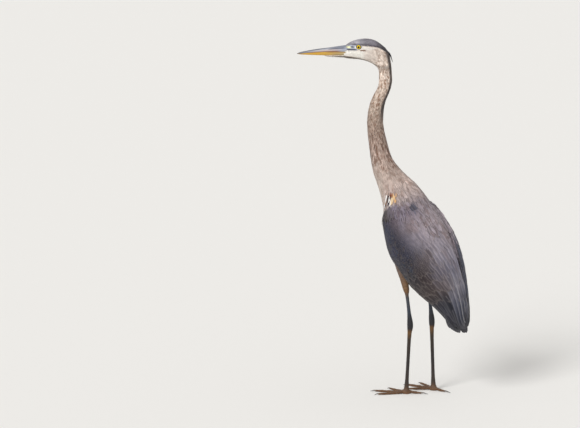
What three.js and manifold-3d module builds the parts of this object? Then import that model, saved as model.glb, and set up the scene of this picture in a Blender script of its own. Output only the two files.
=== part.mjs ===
// Great blue heron in first-year plumage, life size, standing erect on both feet with its head turned
// to its left.
// Millimetres and degrees. The breast faces +X, the bird's left side is +Y, and the floor is z = 0.
import * as THREE from "three";
import { mergeVertices } from "three/addons/utils/BufferGeometryUtils.js";
import Module from "manifold-3d";

const wasm = await Module();
wasm.setup();

// ---- Driving dimensions -----------------------------------------------------------------------------
const PARTING = 0.3; // gap left between pieces that meet
const HEAD_TURN = 32; // the head's turn to the left of the breast
const BODY_LEAN = 28.5; // the body axis from the vertical, tail to the back
const SHOULDER = [72, 636]; // forward and up: where the body axis starts
const NECK_TOP = [126, 0]; // forward and left: the upright that the head turns on

// Neck stations from the nape down: height, forward, half-depth, half-width.
const NECK = [
  [1034, 131, 15.2, 14.5], // hidden in the back of the head
  [1012, 128, 19.4, 18],
  [988, 126.5, 20.3, 19.2],
  [957, 124.8, 19.8, 18.8],
  [928, 131, 18.8, 18.2],
  [898, 147, 20.3, 19.3],
  [862, 158.5, 23.2, 21.5],
  [812, 162, 24.6, 23],
  [760, 152, 27.6, 25.5],
  [712, 140.5, 31.5, 29],
];

// Trunk stations: distance down the body axis, centre's offset to the back, half-depth, half-width.
const TRUNK = [
  [-64, -27, 37.5, 35],
  [-30, -23, 43, 43],
  [8, -17, 54, 53],
  [48, -13.5, 67, 61],
  [90, -16, 81, 69],
  [145, -19, 95, 76],
  [195, -19, 101, 77],
  [245, -17, 97, 74],
  [290, -12, 84, 63],
  [330, -7, 64, 48],
  [362, -5, 42, 32],
  [385, -6, 22, 19],
];

// Outer form of the body with its wings closed: distance down the axis, centre's offset, half-depth,
// half-width.
const CLOSED_WINGS = [
  [44, -12, 62, 67],
  [75, -14, 74, 78],
  [119, -16, 90, 87],
  [177, -16.5, 102, 92],
  [220, -12.5, 101, 91],
  [274, -9.5, 93, 84],
  [323, -6, 80, 70],
  [366, -1, 65, 50],
  [409, 0, 49, 35],
  [448, -4, 36, 23],
  [480, -8, 21, 14],
  [497, -10, 9, 8],
];
// Edges of the closed wing as angles round the body from its side, the belly's below zero, and its
// thickness.
const WING_EDGES = [
  [44, -58, 12, 13],
  [90, -64, 52, 19],
  [150, -62, 68, 17],
  [220, -60, 78, 14],
  [300, -58, 83, 11],
  [366, -52, 85, 9],
  [409, -45, 86, 8],
  [448, -35, 86, 7],
  [497, -20, 84, 4],
];
// The wrist's bulge: down the axis, angle round the body, and how far it stands out.
const WRIST = [74, -26, 7];
const WING_SPLIT = 318; // where the coverts end and the flight feathers show alone

// Tail stations: distance down the body axis, centre's offset to the back, half-thickness, half-width.
const TAIL = [
  [322, -16, 8, 20],
  [370, -19, 8, 26],
  [430, -22.5, 7, 27.5],
  [470, -24, 5.5, 24.5],
  [489, -24, 3.5, 16],
];

// Head stations along the bill's line from the neck's upright: distance, top, bottom, half-width.
const HEAD = [
  [-9, 1044, 1030, 8],
  [-2, 1054, 1008, 14.5],
  [12, 1066.5, 990, 18],
  [24, 1075.5, 994, 20.5],
  [34, 1080.5, 1003.5, 22],
  [55, 1084.8, 1014, 23],
  [80, 1083, 1020.5, 21.5],
  [103, 1076, 1024, 16.5],
  [119, 1066.5, 1026.4, 12],
  [128, 1059.5, 1028.8, 9],
];
const EYE_RADIUS = 8.2;
const EYE = [80.5, 14.5, 1062.6]; // along the bill's line, to the side, and up

// Bill stations: distance, culmen, meeting line of the mandibles, lower edge, half-width.
const BILL = [
  [112, 1066, 1046.2, 1031, 10.2],
  [140, 1062.2, 1046.2, 1031.5, 8.6],
  [170, 1057.8, 1045.6, 1032.6, 7],
  [205, 1053.2, 1043.4, 1033.8, 5.4],
  [240, 1047.2, 1040.6, 1035, 3.4],
  [262, 1041.9, 1038.8, 1036.6, 1.5],
];
const BILL_TIP = [269, 1038.6]; // along and up
const BILL_EDGE = 0.05; // how far a mandible's meeting face is rounded over
const CHIN = [120, 186]; // where the feathered wedge of the chin starts and ends under the lower mandible

// Leg stations from the thigh down, x counted from the ankle's: height, forward, outward, half-depth,
// half-width.
const LEG = [
  [470, 46, 49, 30, 22],
  [425, 35.5, 51.5, 22, 20],
  [385, 26, 50.5, 16, 15.5],
  [352, 18, 48.5, 12, 11.8],
  [322, 12.5, 46.3, 9.2, 8.8],
  [312, 11, 46, 5.4, 5],
  [275, 6, 45, 5, 4.6],
  [248, 3, 44.4, 6, 5.2],
  [230, 0.8, 44.1, 8.6, 6.8],
  [214, 0, 44, 9.4, 7.4],
  [200, 1, 43.8, 8, 6.6],
  [182, 3, 43.6, 5.9, 4.9],
  [110, 7.5, 42.8, 5.1, 4.3],
  [50, 11.5, 42.2, 5.4, 4.5],
  [26, 13, 42, 6.8, 5.8],
  [8, 14, 42, 8.5, 8],
];
const FEATHERS_END = 317; // heights where the leg is parted
const ANKLE_TOP = 234;
const ANKLE_BOTTOM = 199;
const TARSUS_END = 24;
const ANKLE_FORWARD = { left: 8.5, right: -15.5 }; // the left leg stands a little ahead
const FOOT_SHIFT = { left: 0, right: -23 }; // the right shank slants back instead, down to its foot
const KNEE_SHIFT = { left: 0, right: 6 };

// Toes: turn outward from the foot's line, length without the claw, radius at the root.
const TOES = [
  { name: "hind", turn: 186, reach: 46, radius: 4.2, claw: 21, knuckles: 1 },
  { name: "inner", turn: -31, reach: 74, radius: 4.1, claw: 13, knuckles: 2 },
  { name: "middle", turn: 0, reach: 98, radius: 4.4, claw: 15, knuckles: 3 },
  { name: "outer", turn: 31, reach: 88, radius: 4.1, claw: 12, knuckles: 4 },
];
const FOOT_TURN = { left: 20, right: 6 }; // outward
const FOOT_PAD = [13, 11, 16]; // half-length, half-width and height of the pad that the toes grow from
const TOE_HEIGHT = 3.5; // middle of a toe that lies on the floor, a little less than its radius

// ---- Materials --------------------------------------------------------------------------------------
const finish = (color, roughness) => new THREE.MeshStandardMaterial({ color, roughness, metalness: 0 });
const CROWN = finish("#5d5f6b", 0.8);
const NECK_BUFF = finish("#a89a8c", 0.9);
const BODY_GREY = finish("#77767c", 0.85);
const WING_GREY = finish("#7c7a7e", 0.8);
const FLIGHT_SLATE = finish("#4a4e58", 0.7);
const PLUME_BLACK = finish("#1d1e24", 0.7);
const THIGH_RUST = finish("#a0714a", 0.9);
const LEG_HORN = finish("#5c5046", 0.6);
const CLAW_BLACK = finish("#26221f", 0.4);
const BILL_SLATE = finish("#515764", 0.4);
const BILL_YELLOW = finish("#d39a35", 0.4);
const EYE_YELLOW = finish("#e6c22f", 0.1);

// ---- Making solids ----------------------------------------------------------------------------------
const radians = THREE.MathUtils.degToRad;
const point = (x, y, z) => new THREE.Vector3(x, y, z);
const LEFT = point(0, 1, 0);
const UP = point(0, 0, 1);

// A closed geometry becomes a solid that can be joined and cut. Its faces are turned outwards if they
// point in.
function solid(geometry) {
  geometry.deleteAttribute("normal");
  geometry.deleteAttribute("uv");
  const merged = mergeVertices(geometry, 1e-4);
  const vertProperties = merged.attributes.position.array;
  const build = (triVerts) => new wasm.Manifold(new wasm.Mesh({ numProp: 3, vertProperties, triVerts }));
  const corners = Uint32Array.from(merged.index.array);
  const made = build(corners);
  return made.volume() > 0 ? made : build(corners.reverse());
}

// Rows of sizes at given places become a smooth function of place.
function sizesFrom(rows) {
  const places = rows.map((row) => row[0]);
  const values = rows.flatMap((row) => row.slice(1));
  const count = rows[0].length - 1;
  const spline = new THREE.CubicInterpolant(places, values, count, new Float64Array(count));
  return (place) => Array.from(spline.evaluate(place));
}

// Evenly spaced places from one end to the other.
const spread = (from, to, steps) =>
  Array.from({ length: steps + 1 }, (_, i) => from + ((to - from) * i) / steps);

// Closed solid through rings of points. Each cap joins a ring's two halves, so a crescent caps as well as
// an oval.
// `place` moves it from its own space to the bird's.
function loft(rings, place = new THREE.Matrix4()) {
  const around = rings[0].length;
  const triangles = [];
  for (let row = 0; row + 1 < rings.length; row++) {
    for (let i = 0; i < around; i++) {
      const here = row * around + i;
      const beside = row * around + ((i + 1) % around);
      triangles.push(here, here + around, beside);
      triangles.push(beside, here + around, beside + around);
    }
  }
  const cap = (start, turned) => {
    for (let i = 0; i + 1 < around / 2; i++) {
      const a = start + i;
      const b = start + i + 1;
      const c = start + around - 2 - i;
      const d = start + around - 1 - i;
      const faces = turned ? [a, d, b, b, d, c] : [a, b, d, b, c, d];
      triangles.push(...faces.slice(0, 3));
      if (b !== c) triangles.push(...faces.slice(3));
    }
  };
  cap(0, false);
  cap((rings.length - 1) * around, true);
  const geometry = new THREE.BufferGeometry().setFromPoints(rings.flat());
  geometry.setIndex(triangles);
  return solid(geometry.applyMatrix4(place));
}

// Cosine or sine with a corner sharpened or softened: power 2 is an ellipse, more is squarer.
const squared = (value, power) => Math.sign(value) * Math.abs(value) ** (2 / power);

// One oval ring. Its half-depth may differ towards and away from `up`.
function oval(centre, side, up, halfWidth, above, below, around, power = 2) {
  return Array.from({ length: around }, (_, i) => {
    const angle = (2 * Math.PI * (i + 0.5)) / around;
    const across = squared(Math.cos(angle), power) * halfWidth;
    const rise = squared(Math.sin(angle), power);
    return centre
      .clone()
      .addScaledVector(side, across)
      .addScaledVector(up, rise * (rise > 0 ? above : below));
  });
}

// A solid along a line: `line` gives the middle at a share of the way, and `sizes` the half-width across
// `side` and the half-depths on the two faces.
function sweep(line, side, sizes, steps, around, place) {
  const rings = spread(0, 1, steps).map((share) => {
    const onward = line(Math.min(1, share + 0.01)).sub(line(Math.max(0, share - 0.01)));
    const up = onward.cross(side).normalize();
    const [halfWidth, above, below = above] = sizes(share);
    return oval(line(share), side, up, halfWidth, above, below, around);
  });
  return loft(rings, place);
}

const carve = (from, ...cutters) => cutters.reduce((left, cutter) => left.subtract(cutter), from);
const above = (from, height) => from.trimByPlane([0, 0, 1], height + PARTING / 2);
const below = (from, height) => from.trimByPlane([0, 0, -1], -height + PARTING / 2);
const onFloor = (from) => from.trimByPlane([0, 0, 1], 0);

// ---- The body's own axes ----------------------------------------------------------------------------
const DOWN_BODY = point(-Math.sin(radians(BODY_LEAN)), 0, -Math.cos(radians(BODY_LEAN)));
const TO_BACK = point(-Math.cos(radians(BODY_LEAN)), 0, Math.sin(radians(BODY_LEAN)));

// A place on the body: down its axis, to its back, and to its left.
function onBody(down, toBack, left = 0) {
  return point(SHOULDER[0], left, SHOULDER[1]).addScaledVector(DOWN_BODY, down)
    .addScaledVector(TO_BACK, toBack);
}

// ---- Neck and trunk, one form from the nape to the vent ---------------------------------------------
function neckAndTrunk(grow) {
  const neckRows = NECK.map(([up, forward, halfDepth, halfWidth]) => [forward, up, halfDepth, halfWidth]);
  const trunkRows = TRUNK.map(([down, toBack, halfDepth, halfWidth]) => {
    const centre = onBody(down, toBack);
    return [centre.x, centre.z, halfDepth, halfWidth];
  });
  const rows = [...neckRows, ...trunkRows].map((row, i) => [i, ...row]);
  const sizes = sizesFrom(rows);
  const last = rows.length - 1;
  const rings = spread(0, last, 34).map((place) => {
    const [x, z, halfDepth, halfWidth] = sizes(place);
    const [beforeX, beforeZ] = sizes(Math.max(0, place - 0.05));
    const [afterX, afterZ] = sizes(Math.min(last, place + 0.05));
    const onward = point(afterX - beforeX, 0, afterZ - beforeZ).normalize();
    const toFront = point(0, 0, 0).crossVectors(onward, LEFT).negate();
    return oval(
      point(x, 0, z), LEFT, toFront, halfWidth + grow, halfDepth + grow, halfDepth + grow, 20, 2.15,
    );
  });
  return loft(rings);
}

// ---- Head, bill and eyes: made facing +X over the origin, then turned and set on the neck's upright -
const HEAD_PLACE = new THREE.Matrix4().makeRotationZ(radians(HEAD_TURN)).setPosition(...NECK_TOP, 0);

function headForm(grow) {
  const sizes = sizesFrom(HEAD);
  const rings = spread(HEAD[0][0], HEAD.at(-1)[0], 13).map((along) => {
    const [top, bottom, halfWidth] = sizes(along);
    const middle = top * 0.45 + bottom * 0.55;
    const above = top - middle + grow;
    const below = middle - bottom + grow;
    return oval(point(along, 0, middle), LEFT, UP, halfWidth + grow, above, below, 16, 2.1);
  });
  return loft(rings, HEAD_PLACE);
}

function chinForm(grow) {
  const [start, end] = CHIN;
  const line = (share) => point(start + (end - start) * share, 0, 1031.6 + 1.2 * share);
  const sizes = (share) => [9.4 - 6.6 * share + grow, 3.2 - 1.6 * share + grow, 3 - 1.9 * share + grow];
  return sweep(line, LEFT, sizes, 3, 8, HEAD_PLACE);
}

function eyeBall(side, grow) {
  const ball = new THREE.SphereGeometry(EYE_RADIUS + grow, 12, 7);
  ball.rotateX(Math.PI / 2);
  ball.translate(EYE[0], side * EYE[1], EYE[2]);
  return solid(ball.applyMatrix4(HEAD_PLACE));
}

// One mandible: a wedge whose ridge is rounded and whose meeting face is flat.
function mandible(upper, grow) {
  const sizes = sizesFrom(BILL);
  const outward = point(0, 0, upper ? 1 : -1);
  const rings = spread(BILL[0][0], BILL.at(-1)[0], 8).map((along) => {
    const [culmen, meeting, keel, halfWidth] = sizes(along);
    const edge = meeting + (outward.z * PARTING) / 2;
    const tall = Math.abs((upper ? culmen : keel) - edge) + grow;
    const centre = point(along, 0, edge);
    return oval(centre, LEFT, outward, halfWidth + grow, tall, BILL_EDGE + grow, 12, upper ? 1.75 : 2.2);
  });
  const tip = point(BILL_TIP[0], 0, BILL_TIP[1] + 2 * PARTING * outward.z);
  rings.push(oval(tip, LEFT, outward, 0.7 + grow, 0.8, 0.3, 12));
  return loft(rings, HEAD_PLACE);
}

function napePlume() {
  const bulge = (share) => 2.2 * Math.sin(Math.PI * share);
  const line = (share) =>
    point(-3.5 - 20.5 * share - bulge(share), 0, 1053 - 42.5 * share + bulge(share) / 2);
  const sizes = (share) => [0.7 + 3.4 * Math.sin(Math.PI * (0.3 + 0.66 * share)), 2.6 - 1.8 * share];
  return sweep(line, LEFT, sizes, 5, 8, HEAD_PLACE);
}

// ---- Closed wings, as a curved slab that wraps the flank from the wrist to the tip ------------------
function closedWing(side, grow) {
  const form = sizesFrom(CLOSED_WINGS);
  const edges = sizesFrom(WING_EDGES);
  const start = WING_EDGES[0][0];
  const end = WING_EDGES.at(-1)[0];
  const across = 9;
  const rings = spread(0, 1, 17).map((share) => {
    const down = start + (end - start) * share ** 1.12;
    const [centre, halfDepth, halfWidth] = form(down);
    const [lower, upper, thickness] = edges(down);
    const rounding = Math.sqrt(Math.min(1, 0.12 + (down - start) / 34));
    const middle = (lower + upper) / 2;
    const place = (angle, sunk) => {
      const nearWrist = Math.exp(-(((down - WRIST[0]) / 26) ** 2) - ((angle - WRIST[1]) / 28) ** 2);
      const depth = sunk - WRIST[2] * nearWrist;
      const bow = Math.cos(radians(angle));
      const rise = Math.sin(radians(angle));
      const toBack = centre + (halfDepth - depth) * squared(rise, 2.3);
      return onBody(down, toBack, side * (halfWidth - depth) * squared(bow, 2.3));
    };
    const lowest = middle + (lower - middle) * rounding;
    const angles = spread(lowest, middle + (upper - middle) * rounding, across - 1);
    const thick = angles.map((_, i) => {
      const taper = Math.sin((Math.PI * (i + 0.5)) / across);
      return thickness * rounding * (0.22 + 0.78 * Math.sqrt(taper));
    });
    const sunk = (1 - rounding) * 12;
    const outer = angles.map((angle) => place(angle, sunk - grow));
    const inner = angles.map((angle, i) => place(angle, sunk + thick[i] + grow));
    return [...outer, ...inner.reverse()];
  });
  return loft(rings);
}

function tailForm(grow) {
  const sizes = sizesFrom(TAIL);
  const rings = spread(TAIL[0][0], TAIL.at(-1)[0], 6).map((down) => {
    const [toBack, halfThickness, halfWidth] = sizes(down);
    const half = halfThickness + grow;
    return oval(onBody(down, toBack), LEFT, TO_BACK, halfWidth + grow, half, half, 12, 3);
  });
  return loft(rings);
}

// ---- Legs and feet ----------------------------------------------------------------------------------
// How far forward a leg's station stands: each leg has its own ankle, knee and foot.
function forwardOf(name, height, forward) {
  const ankle = LEG.find((row) => row[1] === 0)[0];
  const top = LEG[0][0];
  const toFoot = Math.max(0, (ankle - height) / ankle);
  const toKnee = Math.max(0, (height - ankle) / (top - ankle));
  return ANKLE_FORWARD[name] + forward + FOOT_SHIFT[name] * toFoot + KNEE_SHIFT[name] * toKnee;
}

function legForm(name, side, grow) {
  const rows = LEG.map(([height, forward, outward, halfDepth, halfWidth], i) => {
    return [i, forwardOf(name, height, forward), side * outward, height, halfDepth, halfWidth];
  });
  const sizes = sizesFrom(rows);
  const rings = spread(0, rows.length - 1, 24).map((place) => {
    const [x, y, z, halfDepth, halfWidth] = sizes(place);
    return oval(
      point(x, y, z), LEFT, point(1, 0, 0), halfWidth + grow, halfDepth + grow, halfDepth + grow, 10,
    );
  });
  return loft(rings);
}

function footCentre(name, side) {
  const [height, forward, outward] = LEG.at(-1);
  return point(forwardOf(name, height, forward), side * outward, 0);
}

function footPad(name, side, grow) {
  const [halfLength, halfWidth, height] = FOOT_PAD;
  const turn = side * radians(FOOT_TURN[name]);
  const ahead = point(Math.cos(turn), Math.sin(turn), 0);
  const beside = point(-Math.sin(turn), Math.cos(turn), 0);
  const centre = footCentre(name, side);
  const rings = spread(-2, height, 4).map((up) => {
    const share = Math.max(0, up) / height;
    const swell = Math.sqrt(1 - 0.72 * share * share);
    const middle = centre.clone().setZ(up);
    const long = halfLength * swell + grow;
    return oval(middle, beside, ahead, halfWidth * swell + grow, long, long, 10);
  });
  return onFloor(loft(rings));
}

// The line of one toe: from the pad's middle down to the floor and out along it, with its claw beyond.
function toeLine(name, side, toe) {
  const turn = side * radians(FOOT_TURN[name] + toe.turn);
  const ahead = point(Math.cos(turn), Math.sin(turn), 0);
  const root = footCentre(name, side);
  const bend = side * 0.0011 * toe.reach * (toe.name === "middle" ? 0.3 : 1);
  return (out) => {
    const sideways = ahead.clone().cross(UP).multiplyScalar(bend * (out / toe.reach) ** 2 * toe.reach);
    const lift = 5.5 * Math.exp(-((out / 17) ** 2));
    return root.clone().addScaledVector(ahead, out).add(sideways).setZ(TOE_HEIGHT + lift);
  };
}

function toeForm(name, side, toe, grow) {
  const line = toeLine(name, side, toe);
  const start = 9;
  const rings = spread(start, toe.reach, 2 * toe.knuckles + 2).map((out) => {
    const share = (out - start) / (toe.reach - start);
    const knuckle = 0.1 * Math.cos(2 * Math.PI * (share * (toe.knuckles + 1)));
    const radius = toe.radius * (1 - 0.3 * share) * (1 + knuckle) * (share > 0.97 ? 0.82 : 1);
    const centre = line(out);
    const ahead = line(out + 1).sub(line(out - 1)).setZ(0).normalize();
    const beside = point(-ahead.y, ahead.x, 0);
    return oval(centre, beside, UP, radius + grow, radius * 0.95 + grow, radius + grow, 8);
  });
  return onFloor(loft(rings));
}

function clawForm(name, side, toe, grow) {
  const line = toeLine(name, side, toe);
  const rings = spread(0, 1, 4).map((share) => {
    const out = toe.reach - 2.5 + (toe.claw + 2.5) * share;
    const centre = line(out);
    const arch = 1.5 * Math.sin(Math.PI * Math.min(1, share * 1.15));
    centre.setZ(TOE_HEIGHT * (1 - share) + 0.75 * share + arch);
    const ahead = line(out + 1).sub(line(out - 1)).setZ(0).normalize();
    const radius = 2.3 * (1 - 0.8 * share) + grow;
    return oval(centre, point(-ahead.y, ahead.x, 0), UP, radius * 0.82, radius, radius, 6);
  });
  return onFloor(loft(rings));
}

// ---- Putting the bird together ----------------------------------------------------------------------
const bird = new THREE.Group();
const groups = {};

function add(groupName, name, made, material) {
  const { vertProperties, triVerts, numProp } = made.getMesh();
  const corners = Array.from({ length: vertProperties.length / numProp }, (_, i) => {
    return point(...vertProperties.subarray(i * numProp, i * numProp + 3));
  });
  const geometry = new THREE.BufferGeometry().setFromPoints(corners);
  geometry.setIndex(Array.from(triVerts));
  geometry.computeVertexNormals();
  const mesh = new THREE.Mesh(geometry, material);
  mesh.name = name;
  groups[groupName] ??= new THREE.Group();
  groups[groupName].add(mesh);
  bird.add(groups[groupName]);
}

const SIDES = [["left", 1], ["right", -1]];

// The head sits on the top of the neck. Its cut is level, between the throat and the nape.
const HEAD_CUT = 1001;
const NECK_CUTS = [905, 808, 700];
const spine = neckAndTrunk(0);
const whole = spine.add(headForm(0));

const sockets = [
  mandible(true, PARTING),
  mandible(false, PARTING),
  eyeBall(1, PARTING),
  eyeBall(-1, PARTING),
];
add("head", "head", carve(above(whole, HEAD_CUT), ...sockets).add(chinForm(0)), CROWN);
for (const [name, side] of SIDES) add("head", `eye_${name}`, eyeBall(side, 0), EYE_YELLOW);
add("head", "bill_upper", mandible(true, 0), BILL_SLATE);
add("head", "bill_lower", carve(mandible(false, 0), chinForm(PARTING)), BILL_YELLOW);
const grownNape = neckAndTrunk(PARTING).add(headForm(PARTING));
add("head", "nape_plume", carve(napePlume(), grownNape), PLUME_BLACK);

const [upperCut, middleCut, lowerCut] = NECK_CUTS;
add("neck", "neck_upper", below(above(whole, upperCut), HEAD_CUT), NECK_BUFF);
add("neck", "neck_middle", below(above(whole, middleCut), upperCut), NECK_BUFF);
add("neck", "neck_lower", below(above(whole, lowerCut), middleCut), NECK_BUFF);

const trunk = below(spine, lowerCut);
add("body", "trunk", trunk, BODY_GREY);

// The wings lie on the trunk and the neck's root, parted from each other along the back.
const grownTrunk = neckAndTrunk(PARTING);
const wingSplit = onBody(WING_SPLIT, 0);
const grownWings = SIDES.map(([, side]) => closedWing(side, PARTING));
SIDES.forEach(([name, side], i) => {
  const sideways = closedWing(side, 0).trimByPlane([0, side, 0], PARTING / 2);
  const wing = carve(sideways, grownTrunk);
  const along = wingSplit.dot(DOWN_BODY);
  const downward = DOWN_BODY.toArray();
  const upward = DOWN_BODY.clone().negate().toArray();
  add("wings", `wing_${name}_coverts`, wing.trimByPlane(upward, -along + PARTING / 2), WING_GREY);
  add("wings", `wing_${name}_flight`, wing.trimByPlane(downward, along + PARTING / 2), FLIGHT_SLATE);
});
add("body", "tail", carve(tailForm(0), grownTrunk, ...grownWings), FLIGHT_SLATE);

for (const [name, side] of SIDES) {
  const leg = legForm(name, side, 0);
  const thigh = carve(above(leg, FEATHERS_END), grownTrunk, ...grownWings);
  add(`leg_${name}`, `thigh_${name}`, thigh, THIGH_RUST);
  add(`leg_${name}`, `shank_${name}`, below(above(leg, ANKLE_TOP), FEATHERS_END), LEG_HORN);
  add(`leg_${name}`, `ankle_${name}`, below(above(leg, ANKLE_BOTTOM), ANKLE_TOP), LEG_HORN);
  add(`leg_${name}`, `tarsus_${name}`, below(above(leg, TARSUS_END), ANKLE_BOTTOM), LEG_HORN);
  const pad = below(footPad(name, side, 0).add(onFloor(below(leg, TARSUS_END))), TARSUS_END);
  const grownPad = footPad(name, side, PARTING).add(legForm(name, side, PARTING));
  add(`foot_${name}`, `foot_${name}`, pad, LEG_HORN);
  TOES.forEach((toe, i) => {
    const neighbours = TOES.slice(0, i).map((other) => toeForm(name, side, other, PARTING));
    const grownClaw = clawForm(name, side, toe, PARTING);
    const made = carve(toeForm(name, side, toe, 0), grownPad, grownClaw, ...neighbours);
    add(`foot_${name}`, `toe_${name}_${toe.name}`, made, LEG_HORN);
    add(`foot_${name}`, `claw_${name}_${toe.name}`, clawForm(name, side, toe, 0), CLAW_BLACK);
  });
}

// The part's origin is on the floor, under the middle of the whole bird.
const extent = new THREE.Box3().setFromObject(bird);
const middle = extent.getCenter(point(0, 0, 0));
bird.position.set(-middle.x, -middle.y, -extent.min.z);

export default bird;
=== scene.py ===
import math

import bmesh
import bpy
import numpy as np
from mathutils import Matrix, Vector, noise
from mathutils.bvhtree import BVHTree
from mathutils.kdtree import KDTree


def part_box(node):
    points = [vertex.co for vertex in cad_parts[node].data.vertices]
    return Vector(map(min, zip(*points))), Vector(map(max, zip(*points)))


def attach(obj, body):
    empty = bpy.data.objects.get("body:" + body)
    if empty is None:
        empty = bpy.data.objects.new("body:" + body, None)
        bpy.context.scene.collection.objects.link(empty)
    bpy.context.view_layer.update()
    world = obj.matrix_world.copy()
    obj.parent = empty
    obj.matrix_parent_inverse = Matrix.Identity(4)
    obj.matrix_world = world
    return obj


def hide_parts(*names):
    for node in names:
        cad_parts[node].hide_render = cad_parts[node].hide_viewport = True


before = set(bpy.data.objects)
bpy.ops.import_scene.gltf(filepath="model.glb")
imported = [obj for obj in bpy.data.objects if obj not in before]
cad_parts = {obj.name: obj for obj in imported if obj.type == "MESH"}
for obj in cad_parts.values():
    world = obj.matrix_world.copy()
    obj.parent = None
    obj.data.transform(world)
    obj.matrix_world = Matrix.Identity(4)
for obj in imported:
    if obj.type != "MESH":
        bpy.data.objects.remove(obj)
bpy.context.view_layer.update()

# ---- Where things are ------------------------------------------------------------------------------
# The bird stands with its body leaning back and its head turned to its left. The head's own axes come
# from its two eyes, and the body's from the line between the trunk and the tail.
SIDES = {"left": 1, "right": -1}
TOES = ("hind", "inner", "middle", "outer")
BODY_LEAN = math.radians(28.5)
SHOULDER_BEHIND_CHEST = 0.0974
SHOULDER_BELOW_NECK = 0.064
UP = np.array((0, 0, 1.0))
LEFT = np.array((0, 1.0, 0))


def unit(vectors):
    return vectors / np.maximum(np.linalg.norm(vectors, axis=-1, keepdims=True), 1e-12)


def middle(node):
    low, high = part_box(node)
    return np.array((low + high) / 2)


eyes = {side: middle(f"eye_{side}") for side in SIDES}
eye_mid = (eyes["left"] + eyes["right"]) / 2
head_left = unit(eyes["left"] - eyes["right"])
head_ahead = np.cross(head_left, UP)
trunk_high = np.array(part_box("trunk")[1])
shoulder = np.array((trunk_high[0] - SHOULDER_BEHIND_CHEST, middle("trunk")[1],
                     trunk_high[2] - SHOULDER_BELOW_NECK))
down_body = np.array((-math.sin(BODY_LEAN), 0, -math.cos(BODY_LEAN)))
to_back = np.array((-math.cos(BODY_LEAN), 0, math.sin(BODY_LEAN)))


def in_head(points):
    """How far points are ahead of the eyes, to the left of the head's middle and above the eyes, in mm."""
    away = (points - eye_mid) * 1000
    return away @ head_ahead, away @ head_left, away[..., 2]


def in_body(points):
    """How far points are down the body from the shoulder and to the back, in mm, and their angle from
    the side in degrees, with the back above zero. The angle is the same on both sides."""
    away = (points - shoulder) * 1000
    to_back_mm = away @ to_back
    angle = np.degrees(np.arctan2(to_back_mm, np.abs(away[..., 1])))
    return away @ down_body, to_back_mm, angle


# ---- Studio ----------------------------------------------------------------------------------------
# The camera looks square at the left side of the head, from a little above. A pale matt floor holds the
# shadow, one broad soft lamp is the key, and white cloth all round fills the shade.
CAMERA_RAISED = math.radians(12)
CAMERA_AWAY = 24.0
VIEW_WIDTH = 1.772
AIM_AHEAD, AIM_UP = 0.3965, 0.5427
STANCE_BEHIND_SHOULDER = 0.072
KEY_AHEAD, KEY_UP = 0.75, 1.0
KEY_POWER, KEY_BREADTH = 1.9, math.radians(24)
CLOTH_LIGHT, BACKDROP_LIGHT = 0.62, 1.0
FLOOR_REACH = 30
camera_back = head_left * math.cos(CAMERA_RAISED) + UP * math.sin(CAMERA_RAISED)
camera_up = UP * math.cos(CAMERA_RAISED) - head_left * math.sin(CAMERA_RAISED)
stance = np.array((shoulder[0] - STANCE_BEHIND_SHOULDER, shoulder[1], 0))
aim = stance + head_ahead * AIM_AHEAD + camera_up * AIM_UP


def in_scene(name, data, place=(0, 0, 0), way=None):
    """A new object in the scene, at a place, and looking along a way if one is given."""
    made = bpy.data.objects.new(name, data)
    bpy.context.scene.collection.objects.link(made)
    made.location = place
    if way is not None:
        made.rotation_mode = "QUATERNION"
        made.rotation_quaternion = Vector(way).to_track_quat("-Z", "Y")
    return made


def mesh_of(form, name="part"):
    """The mesh of a bmesh, which is then done with."""
    mesh = bpy.data.meshes.new(name)
    form.to_mesh(mesh)
    form.free()
    return mesh


camera = in_scene("camera", bpy.data.cameras.new("camera"), aim + camera_back * CAMERA_AWAY, -camera_back)
camera.data.sensor_width = 36
camera.data.lens = camera.data.sensor_width * CAMERA_AWAY / VIEW_WIDTH
camera.data.clip_end = 100
bpy.context.scene.camera = camera
bpy.context.scene.view_settings.view_transform = "Standard"


def colour(code):
    """Linear red, green and blue from an sRGB hex code."""
    parts = np.array([int(code[i:i + 2], 16) / 255 for i in (1, 3, 5)])
    return np.where(parts <= 0.04045, parts / 12.92, ((parts + 0.055) / 1.055) ** 2.4)


def rgba(code):
    return (*colour(code), 1.0)


def fill(tree, node, values):
    """Gives a node's sockets their values or joins them to outputs, by name with _ for a space, or by
    number as in_0."""
    for name, value in values.items():
        socket = node.inputs[int(name[3:]) if name.startswith("in_") else name.replace("_", " ")]
        if isinstance(value, bpy.types.NodeSocket):
            tree.links.new(value, socket)
        else:
            socket.default_value = value
    return node


def add(tree, kind, settings=None, **values):
    """One shader node: settings are its own properties, and values are for its sockets."""
    node = tree.nodes.new(kind)
    for name, value in (settings or {}).items():
        setattr(node, name, value)
    return fill(tree, node, values)


def maths(tree, operation, *values):
    inputs = {f"in_{i}": value for i, value in enumerate(values)}
    return add(tree, "ShaderNodeMath", {"operation": operation}, **inputs).outputs[0]


def finish_named(name):
    """A new material and its node tree, in which only the shader and the output are."""
    material = bpy.data.materials.new(name)
    material.use_nodes = True
    return material, material.node_tree


def shade(tree, height=None, strength=0.3, distance=0.0002, **values):
    """Gives a finish's shader its values, with a bump of some height."""
    if height is not None:
        bump = add(tree, "ShaderNodeBump", Strength=strength, Distance=distance, Height=height)
        values["Normal"] = bump.outputs["Normal"]
    fill(tree, tree.nodes["Principled BSDF"], values)


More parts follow.
